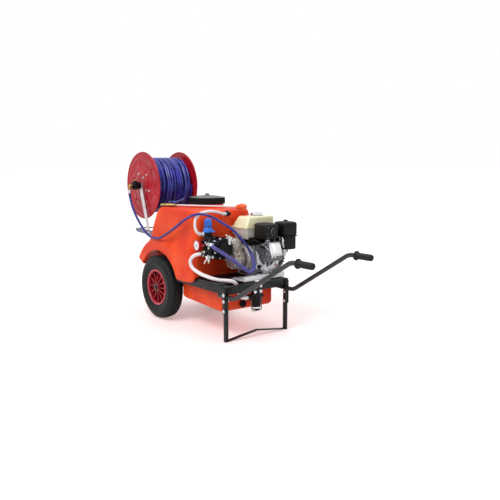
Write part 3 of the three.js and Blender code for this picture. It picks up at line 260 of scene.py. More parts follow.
# Zinc plate on rolled steel: pale, faintly mottled metal.
ZINC = Finish("zinc_plated_steel", "bare_steel", "#dcdfe2", "#bfc4c9", 0.28, metallic=0.9, patch_mm=12,
              grain_mm=0.8)
# Chromium plate on a pressed cap: mirror bright.
CHROME = Finish("chromium_plate", "chrome_plate", "#d9dbde", "#cfd2d6", 0.12, uneven=0.04, metallic=1.0)
# Rubber of hand grips: matt, fine leathery grain.
GRIP = Finish("moulded_grip_rubber", "grip_rubber", "#141415", "#262627", 0.5, ior=1.3, grain_mm=0.9,
              relief_mm=0.08, grain=Grain.CELLS)
# Vulcanised tyre rubber: grey-black, dull, with mould dust on it.
TYRE = Finish("vulcanised_tyre_rubber", "tyre_rubber", "#0c1010", "#191f1f", 0.58, ior=1.3, grain_mm=1.4,
              relief_mm=0.1, speck="#383b36")
# Enamel sprayed on pressed steel: deep red, glossy, a little wavy.
RIM = Finish("red_rim_enamel", "rim_paint", "#960619", "#740412", 0.3, ior=1.4, coat=0.1, grain_mm=2.2,
             relief_mm=0.04)
# The rim's rolled edge in a paler red, painted highlight along the rolled bead.
RIM_BEAD_HIGHLIGHT = Finish("rim_enamel_painted_highlight", "rim_paint", "#d8405a", "#c22a44", 0.3, ior=1.4, coat=0.1,
                  grain_mm=2.2)
# Thicker enamel on the reel's flanges: a warmer red, with slow waves in its gloss.
REEL = Finish("red_reel_enamel", "reel_paint", "#a00f1e", "#b81a2c", 0.32, ior=1.3, coat=0.08, patch_mm=110,
              grain_mm=3.0, relief_mm=0.05)
# Pale grey paint on the reel's carrier.
CARRIER = Finish("pale_grey_enamel", "carrier_paint", "#e3dde0", "#d6cfd3", 0.38)
# Blue-grey paint on the carrier's foot.
FOOT_PAINT = Finish("blue_grey_enamel", "carrier_paint", "#6d7690", "#5c657e", 0.36, patch_mm=30)
# Moulded polyamide: near black, with a fine spark-eroded grain.
BLACK_PLASTIC = Finish("black_moulded_polyamide", "black_plastic", "#09090a", "#131415", 0.4, ior=1.25,
                       grain_mm=0.9, relief_mm=0.06)
# Lid: the same black plastic, with a lighter grey face on top that is painted reflection of the white
# surroundings, with pale specks.
LID_PLASTIC = Finish("green_black_lid_plastic", "black_plastic", "#0d100f", "#191c1a", 0.4, ior=1.25,
                     patch_mm=90, grain_mm=1.6, relief_mm=0.07)
LID_TOP_REFLECTION = Finish("lid_face_painted_reflection", "black_plastic", "#4f5653", "#686f6b", 0.42, patch_mm=60, grain_mm=1.6,
                  relief_mm=0.07, speck="#7d8480")
# Black enamel over sand-cast iron and aluminium: glossy but grainy.
BLACK_CASTING = Finish("black_enamelled_casting", "black_enamel", "#060709", "#0f1012", 0.26, ior=1.25,
                       grain_mm=2.0, relief_mm=0.18)
# Heat-proof black paint: chalky.
HEAT_BLACK = Finish("heatproof_black_paint", "black_enamel", "#161412", "#2a2723", 0.42, ior=1.25,
                    grain_mm=1.2, relief_mm=0.1)
# Moulded knob plastic: clear strong blue, slightly shiny.
BLUE_PLASTIC = Finish("blue_moulded_plastic", "blue_plastic", "#2568d8", "#347ce2", 0.34, coat=0.1)
# The same plastic, dyed darker, on the gun's lever.
NAVY_PLASTIC = Finish("navy_moulded_plastic", "blue_plastic", "#2a4a94", "#3458a6", 0.34, ior=1.4)
# Stoved enamel on pressed steel: clean white, with a wet gloss.
WHITE_ENAMEL = Finish("white_enamel", "white_enamel", "#ecebe8", "#dddcd9", 0.3, coat=0.3, grain_mm=2.4)
# Nylon-dipped wire levers: near white.
LEVER_ENAMEL = Finish("white_dipped_wire", "chrome_plate", "#f4f3f0", "#e6e5e2", 0.25, coat=0.3)
# Stoved enamel on the fuel tank: pale yellow, glossy.
CREAM = Finish("cream_enamel_on_steel", "cream_enamel", "#f3eec9", "#ebe4b8", 0.26, coat=0.3, grain_mm=2.6)
# The same enamel in grey on the tank's lower half, painted shade under its seam, with darker specks.
SHADED_ENAMEL = Finish("cream_enamel_painted_shade", "cream_enamel", "#e0dad0", "#cdc7be", 0.34, coat=0.2,
                     patch_mm=30, grain_mm=2.6, speck="#85827c")
# Die-cast aluminium in darker grey, painted shade on the body between its bright webs: grainy, with a dull
# shine and pale specks.
SHADED_CAST = Finish("die_cast_aluminium_painted_shade", "cast_aluminium", "#85878a", "#4b4d50", 0.46, metallic=0.7,
                    patch_mm=16, grain_mm=1.8, relief_mm=0.25, speck="#9a9c9e")
# The same casting in near white on edges and webs, painted highlight.
LIT_CAST = Finish("die_cast_aluminium_painted_highlight", "cast_aluminium", "#d2d4d6", "#9a9da0", 0.34, metallic=0.6,
                     patch_mm=18, grain_mm=1.4, relief_mm=0.12)
# Gear oil and dust on a rougher casting: brown-grey, mottled.
OILY_CAST = Finish("oil_stained_casting", "cast_aluminium", "#b4aca6", "#837c78", 0.42, metallic=0.45,
                   patch_mm=12, grain_mm=1.8, relief_mm=0.25, speck="#b3a47c")
# Rolled aluminium: pale, with faint lines along its rolling.
SHEET = Finish("rolled_aluminium_sheet", "sheet_aluminium", "#e4e6e9", "#d3d6da", 0.3, metallic=0.35,
               grain_mm=0.9, relief_mm=0.03, grain=Grain.BRUSHED_X)
# Turned brass fittings: yellow-brown metal, barely tarnished.
BRASS = Finish("machined_brass", "brass_metal", "#bd9a62", "#a5824c", 0.32, metallic=1.0, patch_mm=20,
               grain_mm=0.7, relief_mm=0.02)
# The gun's brass, dull with wear.
DULL_BRASS = Finish("tarnished_brass", "brass_metal", "#a8935f", "#847146", 0.4, metallic=0.9, patch_mm=14,
                    grain_mm=0.7, relief_mm=0.02)
# Moulded nozzle plastic: bright orange, satin.
ORANGE_PLASTIC = Finish("orange_moulded_plastic", "orange_plastic", "#ec5a12", "#f56a20", 0.38, coat=0.1)
# PVC hose cover: smooth, satin, slightly uneven.
BLUE_HOSE = Finish("blue_pvc_hose", "blue_hose", "#201f6a", "#302f8c", 0.34, ior=1.4, patch_mm=40,
                   grain_mm=2.0, relief_mm=0.05)
# The same cover on the reel's outer turns, lighter as painted highlight along the turns, in random patches.
LIT_WOUND_HOSE = Finish("wound_pvc_hose", "blue_hose", "#1c2074", "#3a3ca6", 0.3, uneven=0.02, ior=1.45,
                    patch_mm=60, grain_mm=2.0, relief_mm=0.05)
# The turns underneath and the core, darker, painted shade in the gaps between the outer turns.
SHADED_HOSE = Finish("inner_hose_painted_shade", "blue_hose", "#0c1040", "#1c2064", 0.42, uneven=0.03, ior=1.3,
                    patch_mm=60, grain_mm=2.0, relief_mm=0.05)
# Woven sleeve that keeps a hose from chafing: paler, duller, with a coarse weave.
SLEEVE = Finish("woven_hose_sleeve", "blue_hose", "#46448e", "#6260a6", 0.55, patch_mm=14, grain_mm=3.0,
                relief_mm=0.4, grain=Grain.CELLS)
# Embossed mat: wet-looking black.
MAT = Finish("embossed_pvc_mat", "black_plastic", "#0a0c0f", "#15191f", 0.24, grain_mm=1.6, relief_mm=0.06)
# Clear PVC hose with a woven ply inside: milky, with a soft gloss.
WHITE_HOSE = Finish("milky_pvc_hose", "white_hose", "#eadfe2", "#f3ecee", 0.3, coat=0.25, patch_mm=50,
                    grain_mm=2.0, relief_mm=0.03)
# Moulded cap on the throttle's arm: plain yellow.
YELLOW_PLASTIC = Finish("yellow_moulded_plastic", "orange_plastic", "#e6c52a", "#dcb920", 0.4)
# Moulded switch and gauge case: plain signal red.
RED_PLASTIC = Finish("red_moulded_plastic", "rim_paint", "#c8161d", "#b81016", 0.38)
# Ink printed on the dial: flat black.
DIAL_INK = Finish("printed_dial_ink", "black_plastic", "#121315", "#1c1d20", 0.5)
# The dial's printed face: flat white.
DIAL_WHITE = Finish("printed_dial_face", "white_enamel", "#f4f4f2", "#ececea", 0.4)
# Shaft steel, dark with oil.
DARK_STEEL = Finish("oiled_dark_steel", "bare_steel", "#5b5e62", "#4a4d51", 0.38, metallic=1.0, patch_mm=16)


# ---- shaping
def aim(direction: Vector) -> Matrix:
    """Returns the turn that takes +Z to a direction."""
    return Z.rotation_difference(direction.normalized()).to_matrix().to_4x4()


def ease(part: bmesh.types.BMesh, edges: list, offset: float, segments: int = 2) -> None:
    """Rounds edges of a mesh, that wide and in that many strips."""
    bmesh.ops.bevel(part, geom=edges, offset=offset, segments=segments, profile=0.5, affect="EDGES",
                    material=-1)


def show(name: str, data: bpy.types.ID) -> bpy.types.Object:
    """Adds an object of that name and data to the scene and returns it."""
    made = bpy.data.objects.new(name, data)
    bpy.context.scene.collection.objects.link(made)
    return made


def turned(centre: tuple, angle: float, axis: Vector) -> Matrix:
    """Returns a turn about an axis through the origin, which then moves to a centre."""
    return Matrix.Translation(centre) @ Matrix.Rotation(angle, 4, axis)


def polar(centre: tuple, radius: float, angle: float, axis: Vector = Y) -> Vector:
    """Returns the point at a radius and an angle from a centre, in the plane across X, Y or Z."""
    across, up = Y if axis.x else X, Y if axis.z else Z
    return Vector(centre) + across * radius * cos(angle) + up * radius * sin(angle)


def mirrored(half: list, middle: float = 0.0) -> list:
    """Returns a lathe profile followed by its mirror image about a middle."""
    return half + [(radius, 2 * middle - along) for radius, along in reversed(half)]


def ring(major: float, minor: float, sides: int = 8) -> list:
    """Returns the lathe profile of a ring of round wire."""
    turns = [tau * i / sides for i in range(sides + 1)]
    return [(major + minor * cos(turn), minor * sin(turn)) for turn in turns]


class Form:
    """A mesh under construction, in millimetres along the cart's own axes."""

    def __init__(self) -> None:
        """Starts with nothing."""
        self.bm = bmesh.new()

    def take(self, part: bmesh.types.BMesh, place: Matrix | None = None) -> "Form":
        """Moves another mesh into this one.

        Args:
            part: the mesh, which is freed.
            place: where it goes.

        Returns:
            This form.
        """
        if place is not None:
            bmesh.ops.transform(part, matrix=place, verts=part.verts)
        held = bpy.data.meshes.new("held")
        part.to_mesh(held)
        part.free()
        self.bm.from_mesh(held)
        bpy.data.meshes.remove(held)
        return self

    def block(self, x: tuple, y: tuple, z: tuple, edge: float = 1.5, segments: int = 2,
              place: Matrix | None = None) -> "Form":
        """Adds a box with rounded edges.

        Args:
            x: its limits along X, and likewise y and z.
            y: its limits along Y.
            z: its limits along Z.
            edge: radius of the edges.
            segments: how many strips round an edge.
            place: a further turn or move.

        Returns:
            This form.
        """
        part = bmesh.new()
        limits = (sorted(x), sorted(y), sorted(z))
        size = [high - low for low, high in limits]
        middle = Vector([(low + high) / 2 for low, high in limits])
        bmesh.ops.create_cube(part, size=1.0, matrix=Matrix.Translation(middle) @ Matrix.Diagonal((*size, 1)))
        if edge:
            ease(part, part.edges[:], min(edge, 0.45 * min(size)), segments)
        return self.take(part, place)

    def frustum(self, low: tuple, high: tuple, z: tuple, edge: float, segments: int = 6) -> "Form":
        """Adds a block whose sides slope, with rounded edges.

        Args:
            low: its limits along X and Y at the bottom, as (x, x, y, y).
            high: the same at the top.
            z: its limits along Z.
            edge: radius of the edges.
            segments: how many strips round an edge.

        Returns:
            This form.
        """
        part = bmesh.new()
        bmesh.ops.create_cube(part, size=1.0)
        for vert in part.verts:
            limits = high if vert.co.z > 0 else low
            vert.co = (limits[vert.co.x > 0], limits[2 + (vert.co.y > 0)], z[vert.co.z > 0])
        ease(part, part.edges[:], edge, segments)
        return self.take(part)

    def lathe(self, profile: list, centre: tuple, axis: Vector = Z, steps: int = 64,
              place: Matrix | None = None) -> "Form":
        """Spins a profile round an axis.

        Args:
            profile: (radius, distance along the axis) pairs; one that ends on the axis is closed there.
            centre: the point that distances are measured from.
            axis: the direction of the axis.
            steps: how many steps the turn has.
            place: a further turn or move.

        Returns:
            This form.
        """
        part = bmesh.new()
        points = [part.verts.new((radius, 0, along)) for radius, along in profile]
        edges = [part.edges.new(pair) for pair in zip(points, points[1:])]
        bmesh.ops.spin(part, geom=points + edges, cent=(0, 0, 0), axis=(0, 0, 1), angle=tau,
                       steps=steps, use_merge=True)
        bmesh.ops.remove_doubles(part, verts=part.verts, dist=0.001)
        bmesh.ops.recalc_face_normals(part, faces=part.faces)
        put = Matrix.Translation(Vector(centre)) @ aim(axis)
        return self.take(part, place @ put if place is not None else put)

    def rod(self, start: tuple, end: tuple, radius: float, tip: float | None = None, edge: float = 0.6,
            sides: int = 32) -> "Form":
        """Adds a round bar with eased ends.

        Args:
            start: middle of one end.
            end: middle of the other end.
            radius: radius at the start.
            tip: radius at the end, if it differs.
            edge: how far the ends are eased.
            sides: how many sides the bar has.

        Returns:
            This form.
        """
        a, b = Vector(start), Vector(end)
        length, far = (b - a).length, radius if tip is None else tip
        ease = min(edge, length * 0.4, radius * 0.5, far * 0.5)
        profile = [(0, 0), (radius - ease, 0), (radius, ease), (far, length - ease), (far - ease, length),
                   (0, length)]
        return self.lathe(profile, start, b - a, sides)

    def collar(self, inner: float, outer: float, height: float, at: tuple, out: Vector,
               sides: int = 6) -> "Form":
        """Adds a collar or a nut.

        Args:
            inner: radius of its hole.
            outer: radius of its outside.
            height: its height.
            at: the middle of its foot.
            out: the direction of its axis.
            sides: how many sides it has, 6 for a nut.

        Returns:
            This form.
        """
        return self.lathe([(inner, 0), (outer, 0), (outer, height), (inner, height)], at, out, sides)

    def ball(self, centre: tuple, radius: float, sides: int = 24) -> "Form":
        """Adds a ball of that radius round a centre and returns this form."""
        part = bmesh.new()
        bmesh.ops.create_uvsphere(part, u_segments=sides, v_segments=sides // 2, radius=radius)
        return self.take(part, Matrix.Translation(Vector(centre)))

    def prism(self, outline: list, depth: tuple, axis: Vector = Y, edge: float = 1.0,
              place: Matrix | None = None) -> "Form":
        """Extrudes an outline and eases its edges.

        Args:
            outline: points in the plane across the axis: (x, z) for Y, (x, y) for Z, (y, z) for X.
            depth: where it starts and ends along the axis.
            axis: X, Y or Z.
            edge: how far edges are eased.
            place: a further turn or move.

        Returns:
            This form.
        """
        part = bmesh.new()
        low, high = sorted(depth)
        spots = {0: lambda a, b: (low, a, b), 1: lambda a, b: (a, low, b), 2: lambda a, b: (a, b, low)}
        spot = spots[max(range(3), key=lambda i: abs(axis[i]))]
        face = part.faces.new([part.verts.new(spot(a, b)) for a, b in outline])
        far = bmesh.ops.extrude_face_region(part, geom=[face], use_keep_orig=True)["geom"]
        moved = [v for v in far if isinstance(v, bmesh.types.BMVert)]
        bmesh.ops.translate(part, vec=axis * (high - low), verts=moved)
        bmesh.ops.recalc_face_normals(part, faces=part.faces)
        if edge:
            sharp = [e for e in part.edges if len(e.link_faces) == 2 and e.calc_face_angle(0) > radians(30)]
            ease(part, sharp, edge)
        return self.take(part, place)

    def wire(self, points: list, radius: float, sides: int = 12, closed: bool = False) -> "Form":
        """Sweeps a round section along points.

        Args:
            points: the middle line.
            radius: radius of the section.
            sides: its sides, a multiple of 4.
            closed: whether the line closes on itself.

        Returns:
            This form.
        """
        line = bpy.data.curves.new("line", "CURVE")
        line.dimensions = "3D"
        line.bevel_depth = radius
        line.bevel_resolution = max(0, sides // 4 - 1)
        line.use_fill_caps = not closed
        spline = line.splines.new("POLY")
        spline.points.add(len(points) - 1)
        for point, spot in zip(spline.points, points):
            point.co = (*spot, 1)
        spline.use_cyclic_u = closed
        carrier = bpy.data.objects.new("line", line)
        mesh = bpy.data.meshes.new_from_object(carrier)
        part = bmesh.new()
        part.from_mesh(mesh)
        bmesh.ops.remove_doubles(part, verts=part.verts, dist=0.001)
        bpy.data.objects.remove(carrier)
        bpy.data.curves.remove(line)
        bpy.data.meshes.remove(mesh)
        return self.take(part)

    def bolt(self, at: tuple, out: Vector, across: float = 10.0, head: float = 5.0,
             washer: bool = True) -> "Form":
        """Adds a hexagon bolt head on its washer.

        Args:
            at: where the washer meets the surface.
            out: the surface's outward normal.
            across: width of the head across its flats.
            head: height of the head.
            washer: whether it has a washer.

        Returns:
            This form.
        """
        out = out.normalized()
        spot = Vector(at)
        thick = 1.4 if washer else 0.0
        if washer:
            self.lathe([(0, -0.5), (across * 0.95, -0.5), (across * 0.95, 1.1), (across * 0.9, 1.4),
                        (0, 1.4)], spot, out, 24)
        part = bmesh.new()
        wide = across / sqrt(3)
        bmesh.ops.create_cone(part, cap_ends=True, segments=6, radius1=wide, radius2=wide, depth=head)
        rims = [e for e in part.edges if abs(e.verts[0].co.z - e.verts[1].co.z) < 0.01]
        ease(part, rims, 0.7)
        self.take(part, Matrix.Translation(spot + out * (thick + head / 2 - 0.2)) @ aim(out))
        return self

    def bolt_ring(self, centre: tuple, out: Vector, radius: float, count: int, start: float, across: float,
                  head: float, places: int = 0) -> "Form":
        """Adds bolts on a circle.

        Args:
            centre: the circle's middle.
            out: the surface's outward normal, along X or Y.
            radius: the circle's radius.
            count: how many bolts.
            start: angle of the first bolt.
            across: width of a head across its flats.
            head: height of a head.
            places: how many bolts would fill the circle, if not all are there.

        Returns:
            This form.
        """
        for i in range(count):
            turn = tau * i / (places or count) + start
            self.bolt(polar(centre, radius, turn, out), out, across, head)
        return self

    def turned_copy(self, other: "Form", centre: tuple, axis: Vector, count: int) -> "Form":
        """Adds copies of a form, made at the origin, spread evenly round an axis.

        Args:
            other: the form that is copied, which is freed.
            centre: where the axis goes.
            axis: its direction.
            count: how many copies.

        Returns:
            This form.
        """
        for i in range(count):
            self.take(other.bm.copy(), turned(centre, tau * i / count, axis))
        other.bm.free()
        return self

    def piece(self, name: str, finish: Finish, *nodes: str, body: Body | None = Body.CHASSIS,
              sharp: float = 32.0) -> bpy.types.Object:
        """Finishes the form as a piece of the object.

        Args:
            name: the piece's name.
            finish: its surface.
            nodes: the CAD nodes that it stands for.
            body: the CAD body that it rides on, or None for a piece that is placed later.
            sharp: edges that turn by more than this many degrees stay sharp.

        Returns:
            The new object.
        """
        bmesh.ops.transform(self.bm, matrix=TO_ROW, verts=self.bm.verts)
        mesh = bpy.data.meshes.new(name)
        self.bm.to_mesh(mesh)
        self.bm.free()
        mesh.shade_smooth()
        mesh.set_sharp_from_angle(angle=radians(sharp))
        mesh.materials.append(finish.material())
        made = show(name, mesh)
        if nodes:
            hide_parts(*nodes)
        LOG.info("%s: %d faces", name, len(mesh.polygons))
        if body:
            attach(made, body.value)
        return made


def smooth_path(points: list, per_stretch: int = 8) -> list[Vector]:
    """Works out a centripetal Catmull-Rom curve through points.

    Args:
        points: the points that the curve passes.
        per_stretch: how many steps it has between two points.

    Returns:
        The points of the curve.
    """
    given = [Vector(p) for p in points]
    ends = [2 * given[0] - given[1], *given, 2 * given[-1] - given[-2]]
    line = []
    for a, b, c, d in zip(ends, ends[1:], ends[2:], ends[3:]):
        knots = [0.0]
        for p, q in ((a, b), (b, c), (c, d)):
            knots.append(knots[-1] + max(sqrt((q - p).length), 1e-6))
        for i in range(per_stretch):
            t = knots[1] + (knots[2] - knots[1]) * i / per_stretch
            line.append(_between(a, b, c, d, knots, t))
    line.append(given[-1])
    return line


def _between(a: Vector, b: Vector, c: Vector, d: Vector, knots: list[float], t: float) -> Vector:
    """Works out a point of the curve by repeated blends of four control points.

    Args:
        a: the first control point.
        b: the second, where the stretch starts.
        c: the third, where the stretch ends.
        d: the fourth.
        knots: the parameter at each of the four.
        t: the parameter at the wanted point.

    Returns:
        The point.
    """
    k0, k1, k2, k3 = knots
    ab = a.lerp(b, (t - k0) / (k1 - k0))
    bc = b.lerp(c, (t - k1) / (k2 - k1))
    cd = c.lerp(d, (t - k2) / (k3 - k2))
    abc = ab.lerp(bc, (t - k0) / (k2 - k0))
    bcd = bc.lerp(cd, (t - k1) / (k3 - k1))
    return abc.lerp(bcd, (t - k1) / (k2 - k1))


def rounded_path(points: list, radius: float, steps: int = 8) -> list[Vector]:
    """Works out straight stretches with a round bend at each inner corner.

    Args:
        points: the corners.
        radius: how far a bend reaches along each stretch.
        steps: how many steps a bend has.

    Returns:
        The points of the line.
    """
    corners = [Vector(p) for p in points]
    line = [corners[0]]
    for before, corner, after in zip(corners, corners[1:], corners[2:]):
        enter = corner + (before - corner).normalized() * radius
        leave = corner + (after - corner).normalized() * radius
        for i in range(steps + 1):
            t = i / steps
            line.append(enter.lerp(corner, t).lerp(corner.lerp(leave, t), t))
    line.append(corners[-1])
    return line


def stretch(route: list[Vector], start: float, length: float) -> list[Vector]:
    """Cuts a stretch out of a line.

    Args:
        route: the line's points.
        start: how far along it the stretch starts.
        length: its length.

    Returns:
        The points of the stretch.
    """
    cut, gone = [], 0.0
    for a, b in zip(route, route[1:]):
        step = (b - a).length
        for mark in (start, start + length):
            if gone <= mark < gone + step:
                cut.append(a.lerp(b, (mark - gone) / step))
        if start < gone + step < start + length:
            cut.append(b)
        gone += step
    return cut


# ---- studio
@dataclass(frozen=True)
class Studio:
    """Camera, floor, lamps and surroundings."""

    eye: tuple = (2.9902, -2.2188, 1.0023)  # metres, in the row frame
    yaw: float = 51.6
    tilt: float = 8.3
    lens: float = 44.64
    sensor: float = 36.0
    floor_reach: float = 60.0
    # Nearer than this, the floor's glow is dimmer and pink, which is painted shade.
    near: float = 1.2  # metres from the middle, where the floor's own glow starts to grow
    far: float = 3.4
    middle: tuple = (-0.1, 0.0, 0.45)
    ambient: float = 0.44

    def build(self) -> None:
        """Sets up the view and its light."""
        self._camera()
        self._floor()
        self._surroundings()
        self._lamp("key_light", (0.7, -2.6, 3.4), 2.0, 94)
        self._lamp("fill_light", (3.4, 0.9, 1.9), 2.0, 10)
        self._lamp("top_light", (-0.7, 0.6, 3.4), 2.6, 38)
        bpy.context.scene.view_settings.view_transform = "Standard"

    def _camera(self) -> None:
        """Places the camera where the photograph was taken from."""
        yaw, tilt = radians(self.yaw), radians(self.tilt)
        ahead = Vector((-sin(yaw) * cos(tilt), cos(yaw) * cos(tilt), -sin(tilt)))
        data = bpy.data.cameras.new("camera")
        data.lens = self.lens
        data.sensor_width = self.sensor
        data.clip_end = 4 * self.floor_reach
        camera = show("camera", data)
        camera.location = self.eye
        camera.rotation_euler = ahead.to_track_quat("-Z", "Y").to_euler()
        bpy.context.scene.camera = camera

    def _floor(self) -> None:
        """Lays a pale paper floor that shows white where nothing shades it; near the cart its own glow is
        dimmer and pink, a painted rosy shadow for light thrown off the red cart.
        """
        part = bmesh.new()
        bmesh.ops.create_grid(part, x_segments=1, y_segments=1, size=self.floor_reach)
        mesh = bpy.data.meshes.new("studio_floor")
        part.to_mesh(mesh)
        part.free()
        made = bpy.data.materials.new("white_studio_paper")
        tree = bare_tree(made)
        seen = self._seen(tree)
        paper = add_node(tree, "BsdfPrincipled", {"Base Color": linear("#f1efee"), "Roughness": 0.5,
                                                  "Specular IOR Level": 0.25})
        place = add_node(tree, "TexCoord").outputs["Object"]
        reach = add_node(tree, "VectorMath", {"operation": "LENGTH"}, {0: place}).outputs["Value"]
        far = add_node(tree, "MapRange", {"From Min": self.near, "From Max": self.far}, {"Value": reach})
        # Painted shade: the floor's glow is dim and pink near the cart, and full white further off.
        painted_rosy_shade = add_node(
            tree, "Mix", {"data_type": "RGBA", 6: (0.4, 0.27, 0.27, 1.0), 7: (0.62, 0.62, 0.62, 1.0)},
            {0: far.outputs["Result"]})
        light = add_node(tree, "Emission", links={"Strength": seen, "Color": painted_rosy_shade.outputs[2]})
        both = add_node(tree, "AddShader", links={0: paper.outputs["BSDF"], 1: light.outputs["Emission"]})
        add_node(tree, "OutputMaterial", links={"Surface": both.outputs["Shader"]})
        mesh.materials.append(made)
        show("studio_floor", mesh)

    def _surroundings(self) -> None:
        """Makes the world white to look at and soft as a light."""
        world = bpy.data.worlds.new("studio")
        tree = bare_tree(world)
        strength = add_node(tree, "MapRange", {"To Min": self.ambient, "To Max": 1.0},
                            {"Value": self._seen(tree)})
        sky = add_node(tree, "Background", links={"Strength": strength.outputs["Result"]})
        sky.inputs["Color"].default_value = (1, 1, 1, 1)
        add_node(tree, "OutputWorld", links={"Surface": sky.outputs["Background"]})
        bpy.context.scene.world = world

    @staticmethod
    def _seen(tree: bpy.types.NodeTree) -> bpy.types.NodeSocket:
        """Tells what the camera, gloss or glass sees from what only lights the cart.

        Args:
            tree: the floor's or the world's node tree.

        Returns:
            A socket that is 1 for what is seen.
        """
        path = add_node(tree, "LightPath")
        gloss = add_node(tree, "Math", {"operation": "MAXIMUM"}, {0: path.outputs["Is Camera Ray"],
                                                                  1: path.outputs["Is Glossy Ray"]})
        glass = add_node(tree, "Math", {"operation": "MAXIMUM"}, {0: gloss.outputs[0],
                                                                  1: path.outputs["Is Transmission Ray"]})
        return glass.outputs[0]

    def _lamp(self, name: str, at: tuple, size: float, watts: float) -> None:
        """Adds a soft square lamp that faces the cart.

        Args:
            name: its name.
            at: its place, in metres.
            size: its side, in metres.
            watts: its power.
        """
        data = bpy.data.lights.new(name, "AREA")
        data.size = size
        data.energy = watts
        lamp = show(name, data)
        lamp.location = at
        lamp.rotation_euler = (Vector(self.middle) - Vector(at)).to_track_quat("-Z", "Y").to_euler()


# ---- hoses
REEL_AXIS = Vector((-330, 0, 830))
WINDING_RADIUS = 187.0
GUN_START = Vector((-20, -190, 719.3))
GUN_END = Vector((455, 122, 719.3))
GUN_ALONG = (GUN_END - GUN_START).normalized()
GUN_ASIDE = Z.cross(GUN_ALONG)
GUN_PORT = 63.0  # how far along the gun its hose comes in


def on_gun(along: float, aside: float = 0.0, up: float = 0.0) -> Vector:
    """Returns the point that far along the spray gun, to its left and above it."""
    return GUN_START + GUN_ALONG * along + GUN_ASIDE * aside + Z * up


def off_reel(radius: float, y: float, angle: float) -> Vector:
    """Returns the point at that radius, place and angle below the front of the reel."""
    return REEL_AXIS + Vector((radius * cos(angle), y, -radius * sin(angle)))


DELIVERY_ROUTE = (
    (548.3, -214, 528), (562, -214, 528), (582, -207, 514), (606, -176, 490), (640, -124, 446),
    (660, -66, 398), (668, -20, 368), (677, 4, 384), (680, 2, 425), (680, -18, 474), (670, -46, 526),
    (652, -86, 579), (625, -118, 618), (590, -147, 646), (550, -181, 676), (500, -222, 697),
    (445, -246, 690), (350, -248, 656), (238, -248, 600), (120, -248, 545), (55, -248, 520),
    (-15, -248, 514), (-91, -248, 526), (-167, -248, 572), (-232, -248, 625), (-300, -246, 700),
    (-330, -245, 770), (-330, -245, 803.7))
SUCTION_ROUTE = (
    (456, -202.3, 464), (456, -214, 464), (450, -228, 462), (430, -249, 448), (418, -258, 420),
    (432, -256, 388), (476, -240, 360), (535, -215, 341), (600, -190, 331), (645, -168, 331),
    (672, -140, 326), (677, -118, 300), (677, -106, 262), (688, -98, 236), (702, -80, 230),
    (702, -62.3, 230))
RETURN_ROUTE = (
    (450, -196.3, 578), (450, -212, 578), (448, -232, 594), (446, -242, 628), (446, -236, 668),
    (448, -208, 694), (450, -150, 706), (449, -80, 697), (445, -38, 684), (445, -22.3, 684),
)
GUN_ROUTE = (
    on_gun(GUN_PORT, 25.3), on_gun(GUN_PORT, 37), (-8, -102, 724), (-42, -32, 740), (-84, 24, 752),
    (-120, 50, 757), off_reel(WINDING_RADIUS + 9.5, 58, 0.3), off_reel(WINDING_RADIUS + 7.8, 60, 0.22))
SLEEVE_SPAN = (24.0, 405.0)  # where the sleeve on the delivery hose starts, and its length
SLEEVE_PITCH = 9.0


@dataclass(frozen=True)
class Hose:
    """A hose between two fittings, with what holds it on them."""

    node: str
    route: tuple
    radius: float
    finish: Finish
    stiffness: str
    ferrules: bool
    end_grip: float = 22.0

    def build(self) -> bpy.types.Object:
        """Returns:
            The hose.
        """
        line = smooth_path(self.route)
        made = Form().wire(line, self.radius, 20).piece(
            self.node + "_tube", self.finish, self.node, body=None)
        return made

    def dress(self) -> None:
        """Adds crimped ferrules or worm-drive clips at both ends."""
        line = smooth_path(self.route)
        for end, route in (("a", line), ("b", line[::-1])):
            if self.ferrules:
                self._ferrule(route, f"{self.node}_ferrule_{end}")
            else:
                self._clip(route, f"{self.node}_clip_{end}")

    def _ferrule(self, line: list[Vector], name: str) -> None:
        """Adds a ferrule with rolled grooves at the start of a line.

        Args:
            line: the hose's middle line.
            name: the piece's name.
        """
        form = Form().wire(stretch(line, 1, self.end_grip), self.radius + 2.0, 24)
        for i in range(4):
            form.wire(stretch(line, 3 + i * self.end_grip / 4.4, 2.6), self.radius + 2.8, 24)
        form.piece(name, ZINC)

    def _clip(self, line: list[Vector], name: str) -> None:
        """Adds a clip with its screw at the start of a line.

        Args:
            line: the hose's middle line.
            name: the piece's name.
        """
        at = stretch(line, 4, 9)
        form = Form().wire(at, self.radius + 1.3, 32)
        middle, along = (at[0] + at[-1]) / 2, (at[-1] - at[0]).normalized()
        out = along.cross(Z) if abs(along.z) < 0.9 else X.copy()
        out.normalize()
        across = along.cross(out)
        put = Matrix.Translation(middle + out * (self.radius + 3.2)) @ Matrix(
            (across, along, out)).transposed().to_4x4()
        form.block((-8, 8), (-5, 5), (-3, 2.5), 1.0, place=put)
        end = middle + out * (self.radius + 3.5)
        form.rod(end - across * 12, end + across * 12, 3.2)
        form.piece(name, ZINC)


HOSES = (
    Hose("delivery_hose", DELIVERY_ROUTE, 7.5, BLUE_HOSE, "medium", True),
    Hose("suction_hose", SUCTION_ROUTE, 11.0, WHITE_HOSE, "stiff", False),
    Hose("return_hose", RETURN_ROUTE, 8.5, WHITE_HOSE, "stiff", False),
    Hose("gun_hose", GUN_ROUTE, 7.5, BLUE_HOSE, "medium", True, 12.0),
)


def build_hoses() -> None:
    """Builds the four hoses, which come first because the frame's room depends on them."""
    for hose in HOSES:
        made = hose.build()
        if hose.node == "gun_hose":
            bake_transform(made)
        else:
            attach(made, Body.CHASSIS.value)
            hose.dress()
    line = stretch(smooth_path(DELIVERY_ROUTE), *SLEEVE_SPAN)
    form = Form().wire(line, HOSES[0].radius + 2.6, 20)
    for i in range(int(SLEEVE_SPAN[1] / SLEEVE_PITCH) - 1):
        form.wire(stretch(line, (i + 0.5) * SLEEVE_PITCH, 3.5), HOSES[0].radius + 3.5, 16)
    form.piece("delivery_hose_sleeve", SLEEVE)


